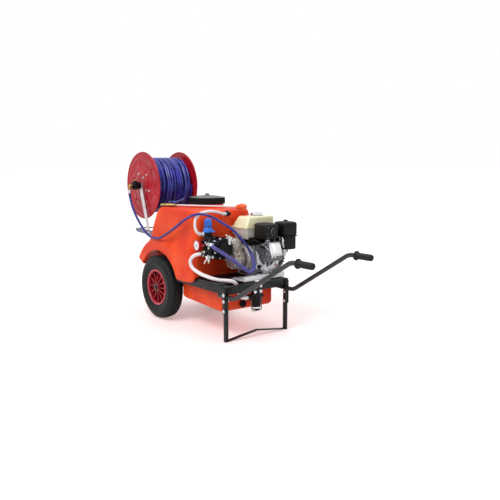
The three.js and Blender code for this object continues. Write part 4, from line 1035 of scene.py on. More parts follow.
# ---- tank
@dataclass(frozen=True)
class Tank:
    """The moulded tank with its lid, drain plug and return elbow."""

    neck: tuple = (128, 62)
    lid_radius: float = 115.5
    lid_low: float = 726.0
    lid_high: float = 780.0
    arch: tuple = (10, 205)  # x and z of the wheel arches' middle
    arch_radius: float = 238.0
    voxel: float = 6.0
    drain: tuple = (632.3, -46, 180)
    elbow: tuple = (410.3, 8, 684)
    lid_ribs: int = 72

    def build(self) -> None:
        """Builds the tank and its fittings."""
        self.shell()
        self.lid()
        self.vent_cap()
        self.drain_plug()
        self.return_elbow()

    def shell(self) -> None:
        """Rounds the tank's walls into one soft skin, as a rotational moulding has."""
        part = bmesh.new()
        part.from_mesh(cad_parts["tank_body"].data)
        bmesh.ops.remove_doubles(part, verts=part.verts, dist=1e-6)
        bmesh.ops.recalc_face_normals(part, faces=part.faces)
        folds = Form()
        x, z = self.arch
        for sign in SIDES.values():
            lip = [polar((x, sign * 235, z), self.arch_radius, 0.36 + 2.2 * i / 30) for i in range(31)]
            folds.wire(lip, 9, 12)
            skirt = [(244, 281), (352, 281), (386, 285), (412, 295), (430, 311), (438, 330), (438, 350),
                     (244, 350)]
            folds.prism(skirt, sorted((sign * 229.5, sign * 245)), Y, 6.5)
            folds.block((372, 438), sorted((sign * 168, sign * 243)), (320, 356), 15, 4)
        joined = bpy.data.meshes.new("tank_folds")
        bmesh.ops.transform(folds.bm, matrix=TO_ROW, verts=folds.bm.verts)
        folds.bm.to_mesh(joined)
        part.from_mesh(joined)
        bpy.data.meshes.remove(joined)
        mesh = bpy.data.meshes.new("tank_shell")
        part.to_mesh(mesh)
        part.free()
        made = show("tank_shell", mesh)
        skin = made.modifiers.new("skin", "REMESH")
        skin.mode = "VOXEL"
        skin.voxel_size = self.voxel * MM
        skin.use_smooth_shade = True
        ease = made.modifiers.new("ease", "SMOOTH")
        ease.factor = 0.5
        ease.iterations = 7
        bpy.context.view_layer.update()
        graph = bpy.context.evaluated_depsgraph_get()
        made.data = bpy.data.meshes.new_from_object(made.evaluated_get(graph))
        made.modifiers.clear()
        made.data.name = "tank_shell"
        made.data.shade_smooth()
        made.data.materials.clear()
        made.data.materials.append(TANK.material())
        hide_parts("tank_body")
        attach(made, Body.CHASSIS.value)
        LOG.info("tank_shell: %d faces", len(made.data.polygons))

    def lid(self) -> None:
        """Turns the screw lid, with grip ribs round its skirt."""
        top, low, out = self.lid_high, self.lid_low, self.lid_radius
        profile = [(0, top - 9), (60, top - 13), (98, top - 17), (108, top - 14.5), (out - 1.5, top - 14.5),
                   (out - 0.5, top - 16), (out - 1, top - 19), (out - 3.5, top - 20), (out - 3.5, low + 8),
                   (out, low + 6), (out, low + 1), (out - 1.5, low), (106, low), (104.5, low + 2),
                   (104.5, top - 22), (0, top - 21)]
        centre = (*self.neck, 0)
        form = Form().lathe(profile, centre, Z, 96)
        rib = Form().block((out - 4.5, out - 0.8), (-1.9, 1.9), (low + 7, top - 18), 0.9, 1)
        form.turned_copy(rib, centre, Z, self.lid_ribs)
        form.lathe([(0, top - 10), (19, top - 10), (19, top - 0.8), (17.5, top), (0, top)], centre, Z, 48)
        form.piece("screw_lid", LID_PLASTIC, "tank_lid", body=Body.LID)
        # The lid's top face is lighter grey, which is painted reflection of the white surroundings.
        face = Form().lathe(
            [(17, top - 1), (40, top - 2.6), (69.6, top - 7.4), (73.8, top - 6.6), (84.2, top - 8.8),
             (88.4, top - 11.8), (97.8, top - 15), (100.8, top - 12.4), (104, top - 12.4),
             (110.5, top - 13.2), (112, top - 15.6), (100, top - 18), (17, top - 13), (17, top - 1)], centre,
            Z, 96)
        face.piece("lid_face", LID_TOP_REFLECTION, body=Body.LID)

    def vent_cap(self) -> None:
        """Turns the vent's knurled cap."""
        centre = (*self.neck, 780.3)
        form = Form().lathe([(0, 0), (11.6, 0), (12, 0.6), (12, 6), (10.6, 8.6), (7, 10), (0, 10.4)],
                            centre, Z, 48)
        rib = Form().block((11.2, 12.6), (-0.8, 0.8), (1, 6), 0.4, 1)
        form.turned_copy(rib, centre, Z, 20)
        # The vent cap takes the same lighter grey, which is painted reflection.
        form.piece("vent_button", LID_TOP_REFLECTION, "lid_vent", body=Body.VENT_CAP)

    def drain_plug(self) -> None:
        """Turns the drain plug with its grip lobes."""
        start = Vector(self.drain)
        profile = [(0, 0), (20, 0), (21, 1), (21, 9), (19, 11), (14.5, 12), (14, 13), (14, 18.5), (12.8, 20),
                   (6, 20), (5.5, 17), (0, 17)]
        form = Form().lathe(profile, start, X, 48)
        rib = Form().block((1, 10), (-1.4, 1.4), (20, 22.2), 0.7, 1)
        form.turned_copy(rib, start, X, 18)
        form.piece("drain_cap", BLACK_PLASTIC, "drain_plug", body=Body.DRAIN_PLUG)

    def return_elbow(self) -> None:
        """Builds the elbow that the return hose is pushed on."""
        x, y, z = self.elbow
        form = Form().lathe([(0, 0), (16, 0), (17, 1), (17, 6), (15, 8), (12, 9), (11, 10), (11, 24),
                             (0, 24)], self.elbow, X, 48)
        bend = rounded_path([(x + 20, y, z), (x + 34.7, y, z), (x + 34.7, y - 30, z)], 12)
        form.wire(bend, 10, 24)
        form.ball((x + 30, y - 4, z), 12.5)
        for i in range(3):
            form.lathe([(8, 0), (10.4, 0), (9, 5), (8, 5)], (x + 34.7, y - 14 - i * 5, z), -Y, 32)
        form.piece("return_fitting", BLACK_PLASTIC, "return_elbow")
        nut = Form().lathe([(10, 9.5), (14.4, 9.5), (14.4, 15), (10, 15)], self.elbow, X, 6)
        nut.piece("return_fitting_nut", BLACK_PLASTIC)


# ---- frame
@dataclass(frozen=True)
class Chassis:
    """Rails, deck, axle carrier, stand and push handles."""

    rail_x: tuple = (210, 722)
    rail_y: tuple = (188, 228)
    rail_z: tuple = (266, 312)
    handle_radius: float = 12.5
    handle_z: tuple = (253.2, 513)
    grip_x: tuple = (1267, 1375)
    leg_x: tuple = (697, 719)
    deck_x: tuple = (409, 660)
    deck_z: tuple = (312.3, 318.3)
    mat_pitch: float = 12.0
    axle_z: float = 200.0
    plate_y: float = 234.2  # outer face of the stand's plates
    bolt_x: float = 708.0

    def build(self) -> None:
        """Builds the frame's pieces."""
        for side, sign in SIDES.items():
            self.rail(side, sign)
            self.handle(side, sign)
            self.grip(side, sign)
        self.crossmember()
        self.axle_carrier()
        self.deck()
        self.engine_plate()
        self.stand()
        self.fixings()

    def rail(self, side: str, sign: int) -> None:
        """Builds a box rail with its end plug.

        Args:
            side: left or right.
            sign: -1 on the left.
        """
        low, high = (sign * v for v in self.rail_y)
        form = Form().block(self.rail_x, (low, high), self.rail_z, 4.5, 4)
        form.piece(f"{side}_box_rail", FRAME_COAT, f"rail_{side}")
        end = self.rail_x[1]
        plug = Form().block((end - 4, end + 1.6), (low + sign * 2, high - sign * 2),
                            (self.rail_z[0] + 2, self.rail_z[1] - 2), 1.4)
        plug.block((end + 1, end + 2.6), (low + sign * 9, high - sign * 9),
                   (self.rail_z[0] + 9, self.rail_z[1] - 9), 1.2)
        plug.piece(f"{side}_rail_plug", BLACK_PLASTIC)

    def handle(self, side: str, sign: int) -> None:
        """Bends a push handle out of tube and welds it under its rail.

        Args:
            side: left or right.
            sign: -1 on the left.
        """
        low, high = self.handle_z
        corners = [(640, sign * 214, low), (782, sign * 214, low), (1220, sign * 204, high),
                   (1370, sign * 204, high)]
        form = Form().wire(rounded_path(corners, 28, 12), self.handle_radius, 32)
        # The tubes take the lighter coat, which is painted highlight.
        form.piece(f"{side}_handle_tube", LIT_TUBE_COAT, f"handle_{side}")
        weld = Form()
        chance = random.Random(7)
        for across in (-7.5, 7.5):
            bead = [
                (648 + i * 3.5, sign * 214 + across, 264.2 + chance.uniform(-0.5, 0.5)) for i in range(20)]
            weld.wire(bead, 2.2, 8)
        weld.piece(f"{side}_handle_weld", FRAME_COAT)

    def grip(self, side: str, sign: int) -> None:
        """Turns a rubber grip with its thumb flange and rings.

        Args:
            side: left or right.
            sign: -1 on the left.
        """
        start, end = self.grip_x
        length = end - start
        profile = [(13, 0), (23, 0), (25, 2), (25, 6), (23, 8), (19, 9), (17.5, 12)]
        for i in range(10):
            along = 14 + i * 8.3
            profile += [(17.4, along), (17.4, along + 4.6), (15.9, along + 6), (15.9, along + 7)]
        profile += [(17.2, length - 8), (16.5, length - 4), (14, length - 1), (10, length), (4, length),
                    (3.6, length - 3), (0, length - 3)]
        form = Form().lathe(profile, (start, sign * 204, self.handle_z[1]), X, 48)
        form.piece(f"{side}_rubber_grip", GRIP, f"grip_{side}", sharp=50)

    def crossmember(self) -> None:
        """Builds the crossmember that joins the rails at the front."""
        form = Form().block((692, 722), (-187.7, 187.7), self.rail_z, 3.5, 3)
        form.piece("front_cross_tube", FRAME_COAT, "front_crossmember")
        weld = Form()
        chance = random.Random(11)
        for sign in SIDES.values():
            for x in (693, 721):
                bead = [(x, sign * 187, 270 + i * 3.2 + chance.uniform(-0.4, 0.4)) for i in range(13)]
                weld.wire(bead, 2.4, 8)
        weld.piece("front_cross_weld", FRAME_COAT)

    def axle_carrier(self) -> None:
        """Builds the welded carrier of the axle, and its stubs."""
        form = Form().block((210, 245), (-187.7, 187.7), self.rail_z, 3.5, 3)
        form.block((-20, 20), (-148, 148), (180, 220), 3, 3)
        for sign in SIDES.values():
            inner, outer = sign * 93, sign * 123
            form.block((-35, 211), (inner, outer), self.rail_z, 3.5, 3)
            form.block((-35, 35), (inner, outer), (176, 267), 3.5, 3)
            gusset = [(34, 266.5), (90, 266.5), (34, 200)]
            form.prism(gusset, (sign * 105, sign * 111), Y, 0.8)
        form.piece("axle_frame", FRAME_COAT, "axle_carrier")
        stubs = Form()
        for sign in SIDES.values():
            stubs.rod((0, sign * 147, self.axle_z), (0, sign * 238, self.axle_z), 10, edge=1.5)
            stubs.collar(10, 17, 3, (0, sign * 166.6, self.axle_z), Y * -sign, 32)
        stubs.piece("axle_stubs", ZINC)

    def deck(self) -> None:
        """Lays the dark deck with its ribbed mat."""
        high = self.deck_z[1]
        form = Form().block(self.deck_x, (-228, 228), self.deck_z, 1.8, 3)
        form.block((468, 560), (40, 220), (high - 1, 322.6), 1.2)
        first, last = self.deck_x[0] + 9, 565.0
        count = int((last - first) / self.mat_pitch)
        for i in range(count):
            x = first + i * self.mat_pitch
            form.block((x, x + 5), (-222, 36 if x > 455 else 222), (high - 0.5, high + 1.7), 0.8, 1)
        form.piece("ribbed_deck", MAT, "deck_plate")

    def engine_plate(self) -> None:
        """Lays the bright sheet under the engine, with a folded lip and its bolts."""
        form = Form().block((565, 690), (-75, 228), (318.6, 322.6), 1.5, 3)
        form.rod((687.5, -74, 319.8), (687.5, 227, 319.8), 3.6)
        form.block((686.2, 690), (-75, 228), (319, 345), 1.6, 3)
        form.rod((688, -74.5, 344), (688, 227.5, 344), 2.6)
        form.piece("engine_sheet", SHEET, "engine_plate")
        bolts = Form()
        for x, y in ((677, -60), (677, 20), (677, 214), (580, -60)):
            bolts.bolt((x, y, 322.4), Z, 10, 5)
        bolts.piece("engine_sheet_bolts", ZINC)

    def stand(self) -> None:
        """Builds the stand's legs, plates and bent foot bar."""
        foot = [(-220, 0), (0, 30), (220, 0), (220, 7), (0, 37), (-220, 7)]
        form = Form().prism(foot, self.leg_x, X, 1.6)
        for sign in SIDES.values():
            form.block(self.leg_x, (sign * 208, sign * 228), (0, 240.4), 2.5, 3)
            form.block((695, 721), (sign * 228.3, sign * 234.3), (160, 300), 2, 3)
        form.piece("folded_stand", FRAME_COAT, "stand")

    def fixings(self) -> None:
        """Adds the bolts that hold the stand, and their nuts inside."""
        form = Form()
        for sign in SIDES.values():
            for z, has_nut in ((266, False), (230, True), (175, True)):
                form.bolt((self.bolt_x, sign * self.plate_y, z), Y * sign, 11, 5)
                if has_nut:
                    form.bolt((self.bolt_x, sign * 207.8, z), Y * -sign, 10, 6)
        form.bolt((722, 20, 290), X, 9, 3)
        form.piece("stand_bolts", ZINC)


# ---- wheels
@dataclass(frozen=True)
class Wheel:
    """A pneumatic wheel on its enamelled rim."""

    side: str
    track: float = 208.0
    axle_z: float = 200.0
    ribs: int = 12
    steps: int = 192
    shoulder: float = 20.0  # how far out from its middle the tread is notched
    notch_every: int = 6
    notch_depth: float = 3.5

    @property
    def out(self) -> Vector:
        """The direction away from the cart."""
        return Y * SIDES[self.side]

    @property
    def centre(self) -> Vector:
        """The middle of the wheel."""
        return Vector((0, SIDES[self.side] * self.track, self.axle_z))

    @property
    def body(self) -> Body:
        """The body that the wheel is."""
        return Body.WHEEL_LEFT if self.side == "left" else Body.WHEEL_RIGHT

    def build(self) -> None:
        """Builds tyre, rim and hub."""
        self.tyre()
        self.rim()
        self.hub()

    def tyre(self) -> None:
        """Turns the tyre and cuts its tread."""
        wall = [(103, 36.5), (109, 37.6), (114, 39.2), (117, 39.9), (119, 41.6), (130, 45.6), (144, 48.8),
                (158, 49.9), (160, 50.4), (163, 50.2), (165, 49.4), (174, 47.4), (184, 43.4), (191, 39),
                (196, 34)]
        tread = [(198.2, 27), (198.6, 22), (194.6, 21), (194.6, 17), (199.6, 16), (199.9, 7), (195.4, 6),
                 (195.4, 2)]
        half = wall + tread
        profile = mirrored([(r, -a) for r, a in half]) + [(103, -36.5)]
        form = Form().lathe(profile, (0, 0, 0), Z, self.steps)
        step = tau / self.steps
        for vert in form.bm.verts:
            radius, across = hypot(vert.co.x, vert.co.y), abs(vert.co.z)
            index = round(atan2(vert.co.y, vert.co.x) / step) + (3 if vert.co.z > 0 else 0)
            if across > self.shoulder and radius > 190 and index % self.notch_every == 0:
                shrink = (radius - self.notch_depth) / radius
                vert.co.x *= shrink
                vert.co.y *= shrink
        bmesh.ops.transform(form.bm, matrix=Matrix.Translation(self.centre) @ aim(self.out),
                            verts=form.bm.verts)
        form.piece(f"{self.side}_tyre_casing", TYRE, f"tyre_{self.side}", body=self.body, sharp=40)

    def rim(self) -> None:
        """Turns the rim with its web, and sets its ribs."""
        back = [(11, -37), (22, -37), (24, -35), (24, 2), (27, 4), (94, 4), (97.7, 1), (97.7, -34)]
        lip = [(99.5, 37), (104.5, 40.2), (109, 41.4), (112.4, 40.6), (113, 38.8), (111.5, 37.2), (105, 36.9),
               (101.7, 35)]
        front = [(97.7, 34), (97.7, 12), (94, 9), (27, 9), (24, 11), (24, 40), (22, 42), (11, 42), (11, -37)]
        profile = back + mirrored([(r, -a) for r, a in lip]) + front
        form = Form().lathe(profile, self.centre, self.out, 96)
        rib = Form().prism([(8, 22), (39, 22), (31, 52), (28, 76), (33, 98.5), (8, 98.5)], (-3.4, 3.4), X,
                           1.1)
        if self.side == "left":
            bmesh.ops.scale(rib.bm, vec=(1, -1, 1), verts=rib.bm.verts)
            bmesh.ops.recalc_face_normals(rib.bm, faces=rib.bm.faces)
        form.turned_copy(rib, self.centre, Y, self.ribs)
        form.piece(f"{self.side}_ribbed_rim", RIM, f"rim_{self.side}", body=self.body)
        # The rolled bead is its own piece, in paler red as painted highlight.
        edge = Form().lathe([(101.3, 35.6), (104.2, 40.8), (109, 42.1), (112.9, 41.1), (113.6, 38.8),
                             (112.8, 38.8), (112.2, 40.3), (109, 41.1), (104.8, 39.9), (102, 35.2),
                             (101.3, 35.6)], self.centre, self.out, 96)
        edge.piece(f"{self.side}_rim_bead_painted_highlight", RIM_BEAD_HIGHLIGHT, body=self.body)

    def hub(self) -> None:
        """Adds the hub's dust cap and the valve stem."""
        cap = Form().lathe([(0, 45.5), (9, 45.3), (12, 44), (13.5, 42.6), (19, 42.4), (19.5, 41.5),
                            (0, 41.5)], self.centre, self.out, 48)
        cap.piece(f"{self.side}_hub_cap", BLACK_CASTING, body=self.body)
        foot = self.centre + Vector((0, 0, 97)) + self.out * 20
        stem = Form().rod(foot, foot + self.out * 14 - Z * 14, 3.0)
        stem.rod(foot + self.out * 9 - Z * 9, foot + self.out * 17 - Z * 17, 4.0)
        stem.piece(f"{self.side}_valve_stem", BLACK_PLASTIC, body=self.body)


# ---- filter
@dataclass(frozen=True)
class Filter:
    """The suction filter under the front of the deck."""

    x: float = 702.0
    head_z: tuple = (205, 265.7)
    boss_z: float = 230.0
    bowl_z: tuple = (150, 204.7)
    bail_reach: float = 36.0

    def build(self) -> None:
        """Builds head, bowl and bail."""
        self.head()
        self.bowl()
        self.bail()

    def head(self) -> None:
        """Builds the head with its flange plate, hose ports and bolts."""
        low, high = self.head_z
        centre = (self.x, 0, 0)
        form = Form().lathe(
            [(0, low), (29, low), (31, low + 1.5), (31, 214), (29.5, 215), (29.5, 218), (31, 219), (31, 243),
             (29, 246), (24, 250), (22, 256), (22, high - 8), (0, high - 8)], centre)
        form.block((678, 720), (-34, 34), (254, high), 4, 3)
        for end, sign in ((-62, -1), (45, 1)):
            form.rod((self.x, sign * 25, self.boss_z), (self.x, end, self.boss_z), 13, edge=1)
            form.collar(13, 15.5, 5, (self.x, end - sign * 14, self.boss_z), Y * sign)
        for angle in range(0, 360, 45):
            x, y, _ = polar(centre, 28, radians(angle + 22), Z)
            form.block((x - 2, x + 2), (y - 2, y + 2), (low + 1, 241), 1)
        form.piece("filter_housing", BLACK_PLASTIC, "filter_head")
        bolts = Form()
        for y in (-20, 20):
            bolts.bolt((720, y, 259), X, 11, 5)
        bolts.piece("filter_bolts", ZINC)

    def bowl(self) -> None:
        """Turns the screw bowl with its ribs and its pale seal ring."""
        low, high = self.bowl_z
        centre = (self.x, 0, 0)
        form = Form().lathe(
            [(0, low + 1), (12, low), (14, low), (21, low + 3), (24.5, low + 9), (25, low + 14), (25, 192),
             (27, 193), (28, 195), (28, 200), (26, high - 1), (0, high - 1)], centre)
        rib = Form().block((24, 26.6), (-1.6, 1.6), (low + 14, 190), 0.8, 1)
        form.turned_copy(rib, centre, Z, 16)
        form.piece("filter_cup", BLACK_PLASTIC, "filter_bowl", body=Body.FILTER_BOWL)
        seal = Form().lathe([(24, 163), (28.4, 163), (29.4, 164), (29.4, 170), (28.4, 171), (24, 171)],
                            centre)
        seal.piece("filter_ring", WHITE_ENAMEL, body=Body.FILTER_BOWL)

    def bail(self) -> None:
        """Bends the wire bail that holds the bowl."""
        reach = self.bail_reach
        points = [(719.2, -reach, 240), (708, -reach, 236), (708, -reach, 152), (708, -reach + 8, 146),
                  (708, reach - 8, 146), (708, reach, 152), (708, reach, 236), (719.2, reach, 240)]
        form = Form().wire(rounded_path(points, 7, 6), 2.5, 16)
        for sign in (-1, 1):
            form.lathe([(0, 0), (5, 0), (6, 0.8), (6, 2), (0, 2.6)], (self.x, sign * 38, self.boss_z),
                       Y * sign, 24)
        form.piece("filter_wire", DARK_STEEL, "filter_bail", body=Body.FILTER_BAIL)


# ---- reel
@dataclass(frozen=True)
class Reel:
    """The hose reel on its carrier, with swivel, crank and the wound hose."""

    flange_radius: float = 224.0
    flange_y: float = 143.0
    drum_radius: float = 62.0
    drum_half: float = 141.2
    hose_radius: float = 7.5
    winding_half: float = 135.5
    turns: int = 17
    steps_per_turn: int = 56
    swivel_y: float = -168.3
    crank_z: float = 692.0

    def build(self) -> None:
        """Builds the reel's pieces."""
        self.carrier()
        for side, sign in SIDES.items():
            self.flange(side, sign)
        self.drum()
        self.winding()
        self.crank()
        self.swivel()

    def carrier(self) -> None:
        """Builds the pale carrier bolted behind the tank."""
        x, z = REEL_AXIS.x, REEL_AXIS.z
        foot = Form().block((-156.3, -150.3), (-168, 168), (468, 522), 2, 3)
        foot.block((-410, -384), (-165, 165), (532, 538), 2, 3)
        foot.block((-182, -150), (-165, 165), (502, 508), 2, 3)
        form = Form()
        for sign in SIDES.values():
            end = [(-155, 508), (-155, 538), (-392, 538), (-410, 530), (-410, 524), (-384, 514), (-250, 508)]
            foot.prism(end, (sign * 162, sign * 168), Y, 1.5)
            arc = [polar(REEL_AXIS, 17, i * pi / 16).xz for i in range(17)]
            leg = [(-205, 508)] + arc + [(-239, 508)]
            form.prism(leg, (sign * 162, sign * 168), Y, 1.6)
            rib = [(-215, 512), (x + 10, z - 26), (x - 10, z - 26), (-229, 512)]
            form.prism(rib, (sign * 159, sign * 162.5), Y, 1.2)
        form.piece("reel_bracket", CARRIER, "reel_carrier")
        foot.piece("reel_bracket_foot", FOOT_PAINT)
        bolts = Form()
        for y in (-140, -50, 50, 140):
            bolts.bolt((-156.2, y, 486), -X, 12, 6)
        for sign in SIDES.values():
            for bolt_x in (-232, -212):
                bolts.bolt((bolt_x, sign * 167.8, 523), Y * sign, 9, 4)
        bolts.piece("reel_bracket_bolts", ZINC)

    def flange(self, side: str, sign: int) -> None:
        """Presses a flange with its rings and rolled rim, and bolts it to the drum.

        Args:
            side: left or right.
            sign: -1 on the left.
        """
        rim = self.flange_radius - 5
        bead = [(rim + 5 * cos(2.7 - 0.6 * i), 5 * sin(2.7 - 0.6 * i)) for i in range(10)]
        outer = [(10.5, 4.5), (36, 4.5), (40, 1.4), (60, 1.4), (64, 4.6), (100, 4.6), (106, 1.4), (118, 1.4),
                 (122, 3), (127, 3), (131, 1.4), (176, 1.4), (181, 3.4), (190, 3.4), (195, 1.4),
                 (rim - 5, 1.4)]
        inner = [(rim - 5, -1.4), (195, -1.4), (190, 0.8), (181, 0.8), (176, -1.4), (106, -1.4), (10.5, -1.4),
                 (10.5, 4.5)]
        centre = REEL_AXIS + Y * sign * self.flange_y
        form = Form().lathe(outer + bead + inner, centre, Y * sign, 128)
        for i in range(6):
            form.block((132, 172), (sign * 1, sign * 4.4), (-8, 8), 3.2, 2,
                       place=turned(centre, tau * i / 6 + 0.3, Y))
        form.piece(f"{side}_pressed_flange", REEL, f"reel_flange_{side}", body=Body.REEL)
        bolts = Form()
        for count, radius, up, start in ((5, 92, 4.5, 0.9), (3, 52, 1.3, 1.5)):
            bolts.bolt_ring(centre + Y * sign * up, Y * sign, radius, count, start, 8, 4)
        bolts.piece(f"{side}_flange_bolts", ZINC, body=Body.REEL)

    def drum(self) -> None:
        """Builds drum and shaft."""
        outer, half = self.drum_radius, self.drum_half
        inner = outer - 3
        walls = [(inner, -half), (outer, -half), (outer, half), (inner, half), (inner, -half)]
        form = Form().lathe(walls, REEL_AXIS, Y, 64)
        form.piece("reel_barrel", REEL, "reel_drum", body=Body.REEL)
        shaft = Form().rod(REEL_AXIS - Y * 223, REEL_AXIS + Y * 183.7, 10, edge=1)
        shaft.collar(10, 15, 5, REEL_AXIS - Y * 160, Y, 32)
        shaft.collar(10, 15, 5, REEL_AXIS + Y * 155, Y, 32)
        shaft.piece("reel_axle", ZINC, "reel_shaft", body=Body.REEL)

    def winding(self) -> None:
        """Winds the hose on in slightly untidy turns over a full core."""
        radius = WINDING_RADIUS - self.hose_radius
        half = [(62.3, -134), (radius - 15, -134), (radius - 12, -130)]
        # Core and lower turns take the darker finish, which is painted shade between the outer turns.
        core = Form().lathe(mirrored(half) + half[:1], REEL_AXIS, Y, 96)
        core.piece("wound_hose_core", SHADED_HOSE, "hose_winding", body=Body.REEL)
        self._layer("wound_hose_lower", radius - 11.5, self.turns, 1.5, 5, SHADED_HOSE)
        # The outer turns take the lighter finish, which is painted highlight.
        self._layer("wound_hose_outer", radius - 0.6, self.turns - 3, 3.6, 23, LIT_WOUND_HOSE)

    def _layer(self, name: str, radius: float, turns: int, stray: float, seed: int, finish: Finish) -> None:
        """Winds one layer.

        Args:
            name: the piece's name.
            radius: radius of the hose's middle line.
            turns: how many turns it has.
            stray: how far turns stray sideways.
            seed: seed of the straying.
            finish: its finish.
        """
        chance = random.Random(seed)
        waves = [(chance.uniform(0, tau), chance.uniform(0.6, 1.0)) for _ in range(4)]
        half = self.winding_half - self.hose_radius - 0.5
        count = turns * self.steps_per_turn
        line = []
        for i in range(count + 1):
            turn = tau * i / self.steps_per_turn
            across = half * (2 * i / count - 1)
            for k, (phase, size) in enumerate(waves):
                across += stray * size * sin(turn * (0.31 + 0.37 * k) + phase)
            across = max(-half, min(half, across))
            sink = 1.1 * (1 + sin(turn * 0.43 + waves[0][0])) * min(1.0, stray / 3)
            at = radius - sink
            line.append(REEL_AXIS + Vector((at * cos(turn), across, at * sin(turn))))
        Form().wire(line, self.hose_radius, 12).piece(name, finish, body=Body.REEL)

    def crank(self) -> None:
        """Builds crank and knob on the right."""
        x, z = REEL_AXIS.x, REEL_AXIS.z
        form = Form().lathe([(0, 0), (19, 0), (20, 1), (20, 13), (19, 14), (0, 14)], (x, 184, z), Y, 48)
        outline = [polar((x, 0, self.crank_z), 12, -pi * i / 12).xz for i in range(13)]
        outline += [(x - 15, z + 6), (x + 15, z + 6)]
        form.prism(outline, (188, 194), Y, 1.4)
        form.rod((x, 187, self.crank_z), (x, 284, self.crank_z), 5)
        form.collar(5, 9, 4, (x, 279, self.crank_z), Y)
        form.piece("crank_arm", ZINC, "reel_crank", body=Body.REEL)
        knob = Form().lathe([(5.4, 0), (12, 0), (13, 1.5), (13.4, 10), (15.4, 28), (16, 40), (15.2, 56),
                             (13, 66), (10, 71), (5.4, 72), (5.4, 0)], (x, 194.3, self.crank_z), Y, 48)
        knob.piece("crank_handle", BLACK_PLASTIC, "crank_knob", body=Body.CRANK_KNOB)

    def swivel(self) -> None:
        """Builds the hose swivel and its brass elbow."""
        x, y, z = REEL_AXIS.x, self.swivel_y, REEL_AXIS.z
        form = Form().lathe(
            [(11, 0), (22, 0), (24, 1.5), (24, 12), (20, 14), (19, 16), (19, 20), (26, 22), (27, 24),
             (27, 49), (25.5, 51), (20, 52), (20, 60), (18.5, 62.7), (11, 62.7), (11, 0)], (x, y, z), -Y, 48)
        for i in range(6):
            at = polar((x, y - 21, z), 25, tau * i / 6)
            form.rod(at, at - Y * 31, 4.4, sides=16)
        form.block((x - 13, x + 13), (y - 46, y - 26), (z + 14, z + 33), 3, 3)
        form.piece("swivel_housing", BLACK_CASTING, "swivel_body")
        bend = rounded_path([(x, -224, z), (x, -245, z), (x, -245, 803)], 9)
        brass = Form().wire(bend, 8, 24)
        brass.collar(6, 12.4, 6, (x, -230.5, z), -Y)
        brass.collar(6, 11, 8, (x, -245, 812), -Z)
        brass.ball((x, -243.4, z - 1.4), 9.6)
        brass.rod((x, -244, z), (x, -255, z), 6)
        brass.lathe([(0, 0), (9, 0), (9, 5), (6, 6), (6, 9), (0, 9)], (x, y - 36, z + 33), Z, 6)
        brass.piece("swivel_outlet", BRASS, "swivel_elbow")


# ---- gun
@dataclass(frozen=True)
class SprayGun:
    """The spray gun that lies across the tank."""

    lance: float = 5.5
    nozzle_start: float = 506.3

    def build(self) -> None:
        """Builds grip, lance, lever and nozzle."""
        self.body()
        self.lever()
        self.nozzle()

    def body(self) -> None:
        """Builds the brass grip valve and the pale lance."""
        grip = [(0, 0), (8, 0), (9, 1), (9, 8), (7.5, 9), (7.5, 12), (9, 13), (9, 20), (11, 22), (11, 30),
                (9.6, 31), (9.6, 46), (11, 47), (11, 80), (10, 82), (10, 94), (7, 98), (6.6, 112), (0, 112)]
        form = Form().lathe(grip, GUN_START, GUN_ALONG, 40)
        form.collar(0, 11.5, 7, on_gun(84), GUN_ALONG)
        form.rod(on_gun(GUN_PORT), on_gun(GUN_PORT, 25), 8)
        form.collar(5, 9.6, 6, on_gun(GUN_PORT, 17), GUN_ASIDE)
        form.rod(on_gun(GUN_PORT, 0, 4), on_gun(GUN_PORT, 0, 17), 6)
        form.piece("gun_valve", DULL_BRASS, "gun_body", body=Body.GUN)
        tube = Form().rod(on_gun(100), on_gun(506), self.lance, edge=0.4, sides=24)
        tube.collar(5, 7, 10, on_gun(496), GUN_ALONG, 24)
        tube.piece("gun_lance", CARRIER, body=Body.GUN)

    def lever(self) -> None:
        """Builds the blue shut-off lever that stands on the valve."""
        hub = on_gun(GUN_PORT, 0, 17.3)
        form = Form().lathe([(0, 0), (8.5, 0), (9, 0.8), (9, 6), (8, 7.5), (0, 8)], hub, Z, 32)
        put = turned(hub, atan2(GUN_ALONG.y, GUN_ALONG.x), Z)
        form.block((0, 44), (-7, 7), (1.5, 8), 3, 3, place=put)
        form.block((26, 52), (-9, 9), (1, 9.5), 4, 4, place=put)
        form.piece("gun_lever_arm", NAVY_PLASTIC, "gun_lever", body=Body.GUN_LEVER)

    def nozzle(self) -> None:
        """Turns the orange nozzle with its grip ribs."""
        start = self.nozzle_start
        form = Form().lathe(
            [(5, 0), (12, 0), (13, 1.2), (13, 8), (14, 10), (18.4, 26), (19.4, 29), (19.4, 50), (18, 52),
             (15, 53), (15, 61), (13, 62), (8, 62), (7, 56), (0, 55)], on_gun(start), GUN_ALONG, 48)
        for i in range(18):
            aside, up = 19.2 * cos(tau * i / 18), 19.2 * sin(tau * i / 18)
            form.rod(on_gun(start + 30, aside, up), on_gun(start + 49, aside, up), 1.3, sides=8)
        form.piece("gun_nozzle_head", ORANGE_PLASTIC, "gun_nozzle", body=Body.GUN_NOZZLE)


